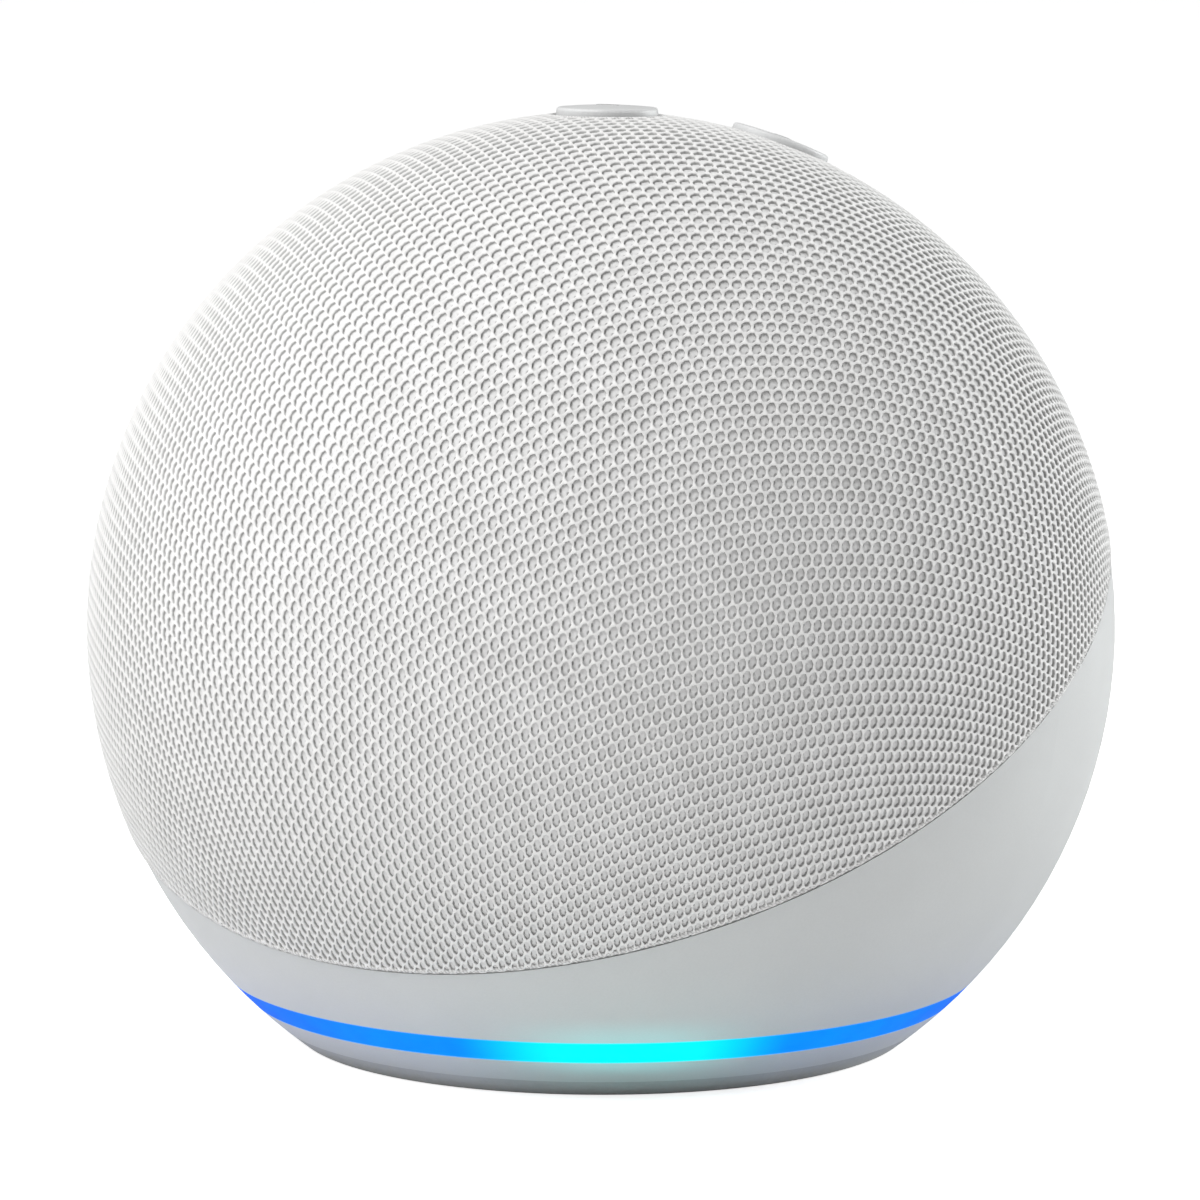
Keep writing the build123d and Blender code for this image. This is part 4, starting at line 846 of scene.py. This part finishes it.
def board_finish():
    """A printed board: lacquer over copper tracks that follow the edges of square cells, with bare
    tinned dots."""
    material, tree, shader, place = new_material("lacquered_board", Roughness=0.35, Coat_Weight=0.3)
    cells = {"voronoi_dimensions": "3D", "feature": "DISTANCE_TO_EDGE"}
    track = node(tree, "ShaderNodeTexVoronoi", cells, Vector=place, Scale=420.0, Randomness=0.35).outputs[0]
    dots = node(tree, "ShaderNodeTexVoronoi", {"feature": "F1"}, Vector=place, Scale=260.0,
        Randomness=0.7).outputs[0]
    copper = remap(tree, track, 0.06, 0.1, 1.0, 0.0)
    bare = remap(tree, dots, 0.1, 0.14, 1.0, 0.0)
    base = blend_colour(tree, copper, (0.008, 0.06, 0.03, 1.0), (0.03, 0.16, 0.07, 1.0))
    feed(tree, shader.inputs["Base Color"], blend_colour(tree, bare, base, (0.6, 0.6, 0.58, 1.0)))
    feed(tree, shader.inputs["Metallic"], calc(tree, "MULTIPLY", bare, 0.9))
    feed(tree, shader.inputs["Roughness"], remap(tree, copper, 0.0, 1.0, 0.38, 0.3))
    emboss(tree, shader, calc(tree, "ADD", copper, bare), 0.03 * MM, 0.5)
    return material


def inside_finishes(colours):
    """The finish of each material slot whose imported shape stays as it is."""
    white, black = (0.75, 0.75, 0.74), (0.018, 0.018, 0.02)
    copper = (0.72, 0.33, 0.16)
    return {
        "shell_plastic": moulded_finish("shell_moulding", (0.5, 0.5, 0.49), 0.55),
        "housing_plastic": housing_finish(colours),
        "diffuser": light_finish(colours),
        "foot_rubber": moulded_finish("foot_rubber", (0.56, 0.57, 0.57), 0.8, 2200.0, 0.05, 0.15),
        "steel_screw": metal_finish("screw_steel", (0.34, 0.34, 0.35), 0.32),
        "circuit_board": board_finish(),
        "led_package": moulded_finish("led_body", white, 0.3, 2500.0, 0.01),
        "tinned_steel": metal_finish("tinned_sheet", (0.72, 0.72, 0.7), 0.3, 400.0, (1.0, 0.08, 1.0)),
        "silicone": moulded_finish("pad_silicone", (0.3, 0.42, 0.5), 0.65, 1800.0, 0.03),
        "aluminium_plate": metal_finish("cast_aluminium", (0.78, 0.79, 0.8), 0.42, 900.0, (0.06, 1.0, 1.0)),
        "black_plastic": moulded_finish("black_moulding", black, 0.45),
        "inlet_plastic": moulded_finish("inlet_moulding", (0.3, 0.31, 0.31), 0.5, 3600.0, 0.02, 0.1),
        "foam_rubber": moulded_finish("gasket_foam", (0.03, 0.03, 0.03), 0.9, 1500.0, 0.12),
        "basket_steel": metal_finish("basket_lacquer", (0.06, 0.06, 0.065), 0.45, 600.0, (1.0, 1.0, 1.0), 0.4),
        "magnet": metal_finish("sintered_magnet", (0.1, 0.1, 0.11), 0.55, 1500.0, (1.0, 1.0, 1.0), 0.6),
        "copper_coil": woven_finish("wound_copper", copper, 0.35, 2600.0, 0.05),
        "cone_paper": woven_finish("pressed_paper", (0.045, 0.045, 0.048), 0.8, 400.0, 0.05),
        "spider_cloth": woven_finish("treated_cloth", (0.62, 0.4, 0.16), 0.85, 700.0, 0.08),
        "lead_jacket": moulded_finish("lead_jacket", (0.3, 0.02, 0.02), 0.5),
        "flex_film": moulded_finish("flex_film", (0.5, 0.22, 0.04), 0.3, 1200.0, 0.01, 0.0, 0.3),
        "button_plastic": moulded_finish("button_satin", colours.button, 0.4, 4200.0, 0.01, 0.1),
    }


def dress_nodes(finishes):
    """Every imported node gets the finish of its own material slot."""
    for entry in frame["record"]["subparts"]:
        finish = finishes.get(entry["material_slot"])
        if finish:
            for holder in frame["nodes"][entry["node"]].material_slots:
                holder.material = finish


# ---------------------------------------------------------------- operators


def sizes_of(context):
    """The scene's settings for this speaker."""
    scene = context.scene
    return scene.speaker_knit, scene.speaker_colours, scene.speaker_marks, scene.speaker_stage


class SPEAKER_OT_groups(Operator):
    """Builds the shader groups that the finishes share"""

    bl_idname = "speaker.groups"
    bl_label = "Shared Groups"

    def execute(self, context):
        build_grain_group()
        build_handling_group()
        build_dust_group()
        build_yarn_group()
        build_lines_group()
        return {"FINISHED"}


class SPEAKER_OT_cloth(Operator):
    """Makes the open knit, its lining and the rolled hems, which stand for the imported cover"""

    bl_idname = "speaker.cloth"
    bl_label = "Knit Cloth"

    def execute(self, context):
        knit, colours, _, _ = sizes_of(context)
        quarters = make_knit(knit, thread_finish(colours))
        lining = make_lining(knit, lining_finish(colours))
        yarn = hem_finish(colours)
        middle = CLOTH_RADIUS - knit.hem_radius
        edge = EDGE_ANGLE - knit.hem_radius / CLOTH_RADIUS
        hems = [round_band("seam_hem", POLE, edge, middle, knit.hem_radius, 1.0, 720, yarn)]
        for name, axis in BUTTON_AXES.items():
            hem = name.replace("_button", "_hem")
            hems.append(round_band(hem, axis, hole_angle(knit), middle, knit.hem_radius, 1.0, 120, yarn))
        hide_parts("fabric_cover")
        return {"FINISHED"}


class SPEAKER_OT_finishes(Operator):
    """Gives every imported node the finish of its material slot"""

    bl_idname = "speaker.finishes"
    bl_label = "Plastics, Light and Inner Parts"

    def execute(self, context):
        _, colours, _, _ = sizes_of(context)
        dress_nodes(inside_finishes(colours))
        return {"FINISHED"}


class SPEAKER_OT_marks(Operator):
    """Makes the raised signs on the four buttons: plus, minus, a barred ring and a ring"""

    bl_idname = "speaker.marks"
    bl_label = "Button Signs"

    def execute(self, context):
        _, colours, marks, _ = sizes_of(context)
        material = moulded_finish("sign_moulding", tint(colours.button, 0.55)[:3], 0.35, 4200.0, 0.005)
        reach = marks.reach
        slant = reach * 1.25 * math.sqrt(0.5)
        level, upright = (line((-reach, 0), (reach, 0)), False), (line((0, -reach), (0, reach)), False)
        signs = {
            "volume_up_button": (level, upright),
            "volume_down_button": (level,),
            "microphone_button": ((circle(0.9 * reach), True), (line((-slant, slant), (slant, -slant)), False)),
            "action_button": ((circle(0.6 * reach), True),),
        }
        for name, strokes in signs.items():
            make_mark(name, strokes, marks, material)
        return {"FINISHED"}


def aim(thing, target):
    """Turns a lamp or camera towards a point."""
    thing.rotation_euler = (Vector(target) - thing.location).to_track_quat("-Z", "Y").to_euler()


def round_direction(azimuth, elevation):
    """The direction from the ball to a place at a turn from the front towards +X and a height angle."""
    level = math.cos(elevation)
    return Vector((math.sin(azimuth) * level, -math.cos(azimuth) * level, math.sin(elevation)))


def add_lamp(name, azimuth, elevation, distance, size, power, colour):
    """A square soft lamp that faces the ball."""
    data = bpy.data.lights.new(name, "AREA")
    data.energy, data.size, data.color = power, size, colour
    lamp = bpy.data.objects.new(name, data)
    bpy.context.scene.collection.objects.link(lamp)
    lamp.location = Vector(CENTRE) + round_direction(math.radians(azimuth), math.radians(elevation)) * distance
    aim(lamp, CENTRE)
    return lamp


def make_floor(radius):
    """A plain pale round floor, a fan of rings about the origin."""
    turn = np.linspace(0, 2 * math.pi, 96, endpoint=False)
    reach = np.array([0.02, 0.2, 1.0, radius])
    flat = reach[:, None, None] * np.stack([np.cos(turn), np.sin(turn)], axis=-1)
    points = np.concatenate([flat, np.zeros((*flat.shape[:2], 1))], axis=-1).reshape(-1, 3)
    mesh = bpy.data.meshes.new("floor")
    faces = [list(face) for face in grid_faces(len(reach), len(turn), False, True)[:, ::-1].tolist()]
    mesh.from_pydata(points.tolist(), [], faces + [list(range(len(turn)))])
    mesh.update()
    floor = bpy.data.objects.new("floor", mesh)
    bpy.context.scene.collection.objects.link(floor)
    material, tree, shader, place = new_material("pale_floor", Roughness=0.75, Specular_IOR_Level=0.2)
    paper = noise(tree, place, 300.0, 2.0)
    base = blend_colour(tree, remap(tree, paper, 0.3, 0.7), (0.9, 0.9, 0.9, 1.0), (0.93, 0.93, 0.93, 1.0))
    feed(tree, shader.inputs["Base Color"], base)
    shader.inputs["Emission Color"].default_value = (1.0, 1.0, 1.0, 1.0)
    seen = node(tree, "ShaderNodeLightPath").outputs["Is Camera Ray"]
    feed(tree, shader.inputs["Emission Strength"], calc(tree, "MULTIPLY", seen, 0.72))
    mesh.materials.append(material)


def make_world(ambient):
    """White to the camera, and a softer white as light."""
    world = bpy.data.worlds.new("studio")
    world.use_nodes = True
    tree = world.node_tree
    seen = node(tree, "ShaderNodeLightPath").outputs["Is Camera Ray"]
    strength = calc(tree, "ADD", calc(tree, "MULTIPLY", seen, 1.0 - ambient), ambient)
    back = tree.nodes["Background"]
    back.inputs["Color"].default_value = (1.0, 1.0, 1.0, 1.0)
    feed(tree, back.inputs["Strength"], strength)
    bpy.context.scene.world = world


class SPEAKER_OT_stage(Operator):
    """Makes the pale floor, the soft lamps and the camera"""

    bl_idname = "speaker.stage"
    bl_label = "Stage"

    def execute(self, context):
        _, _, _, stage = sizes_of(context)
        scene = context.scene
        make_floor(stage.floor_radius)
        make_world(stage.ambient)
        add_lamp("key_lamp", azimuth=-34.0, elevation=50.0, distance=0.9, size=0.9, power=stage.key_power,
            colour=(1.0, 1.0, 1.0))
        add_lamp("rim_lamp", azimuth=142.0, elevation=10.0, distance=0.9, size=0.6, power=stage.rim_power,
            colour=(0.98, 1.0, 1.0))
        data = bpy.data.cameras.new("camera")
        data.lens = stage.lens
        data.sensor_width = 36.0
        data.shift_x, data.shift_y = -0.0018, 0.0218
        data.clip_start, data.clip_end = 0.01, 50.0
        camera = bpy.data.objects.new("camera", data)
        scene.collection.objects.link(camera)
        camera.location = Vector(CENTRE) + round_direction(stage.azimuth, stage.elevation) * stage.distance
        aim(camera, CENTRE)
        scene.camera = camera
        scene.view_settings.view_transform = "Standard"
        return {"FINISHED"}


class SPEAKER_PT_panel(Panel):
    """Lists the speaker's settings and the steps that make it"""

    bl_idname = "SPEAKER_PT_panel"
    bl_label = "Ball Smart Speaker"
    bl_space_type = "VIEW_3D"
    bl_region_type = "UI"
    bl_category = "Speaker"

    def draw(self, context):
        for settings in sizes_of(context):
            box = self.layout.box()
            for name in settings.__annotations__:
                box.prop(settings, name)
        for operator in OPERATORS:
            self.layout.operator(operator.bl_idname)


SETTINGS = {"speaker_knit": SpeakerKnit, "speaker_colours": SpeakerColours, "speaker_marks": SpeakerMarks,
    "speaker_stage": SpeakerStage}
OPERATORS = (SPEAKER_OT_groups, SPEAKER_OT_cloth, SPEAKER_OT_finishes, SPEAKER_OT_marks, SPEAKER_OT_stage)


def register():
    """Registers the settings, the operators and the panel."""
    for kind in (*SETTINGS.values(), *OPERATORS, SPEAKER_PT_panel):
        bpy.utils.register_class(kind)
    for name, kind in SETTINGS.items():
        setattr(bpy.types.Scene, name, PointerProperty(type=kind))


def unregister():
    """Takes away what register added."""
    for name in SETTINGS:
        delattr(bpy.types.Scene, name)
    for kind in reversed((*SETTINGS.values(), *OPERATORS, SPEAKER_PT_panel)):
        bpy.utils.unregister_class(kind)


def main():
    register()
    bpy.ops.speaker.groups()
    bpy.ops.speaker.cloth()
    bpy.ops.speaker.finishes()
    bpy.ops.speaker.marks()
    bpy.ops.speaker.stage()


if __name__ == "__main__":
    main()
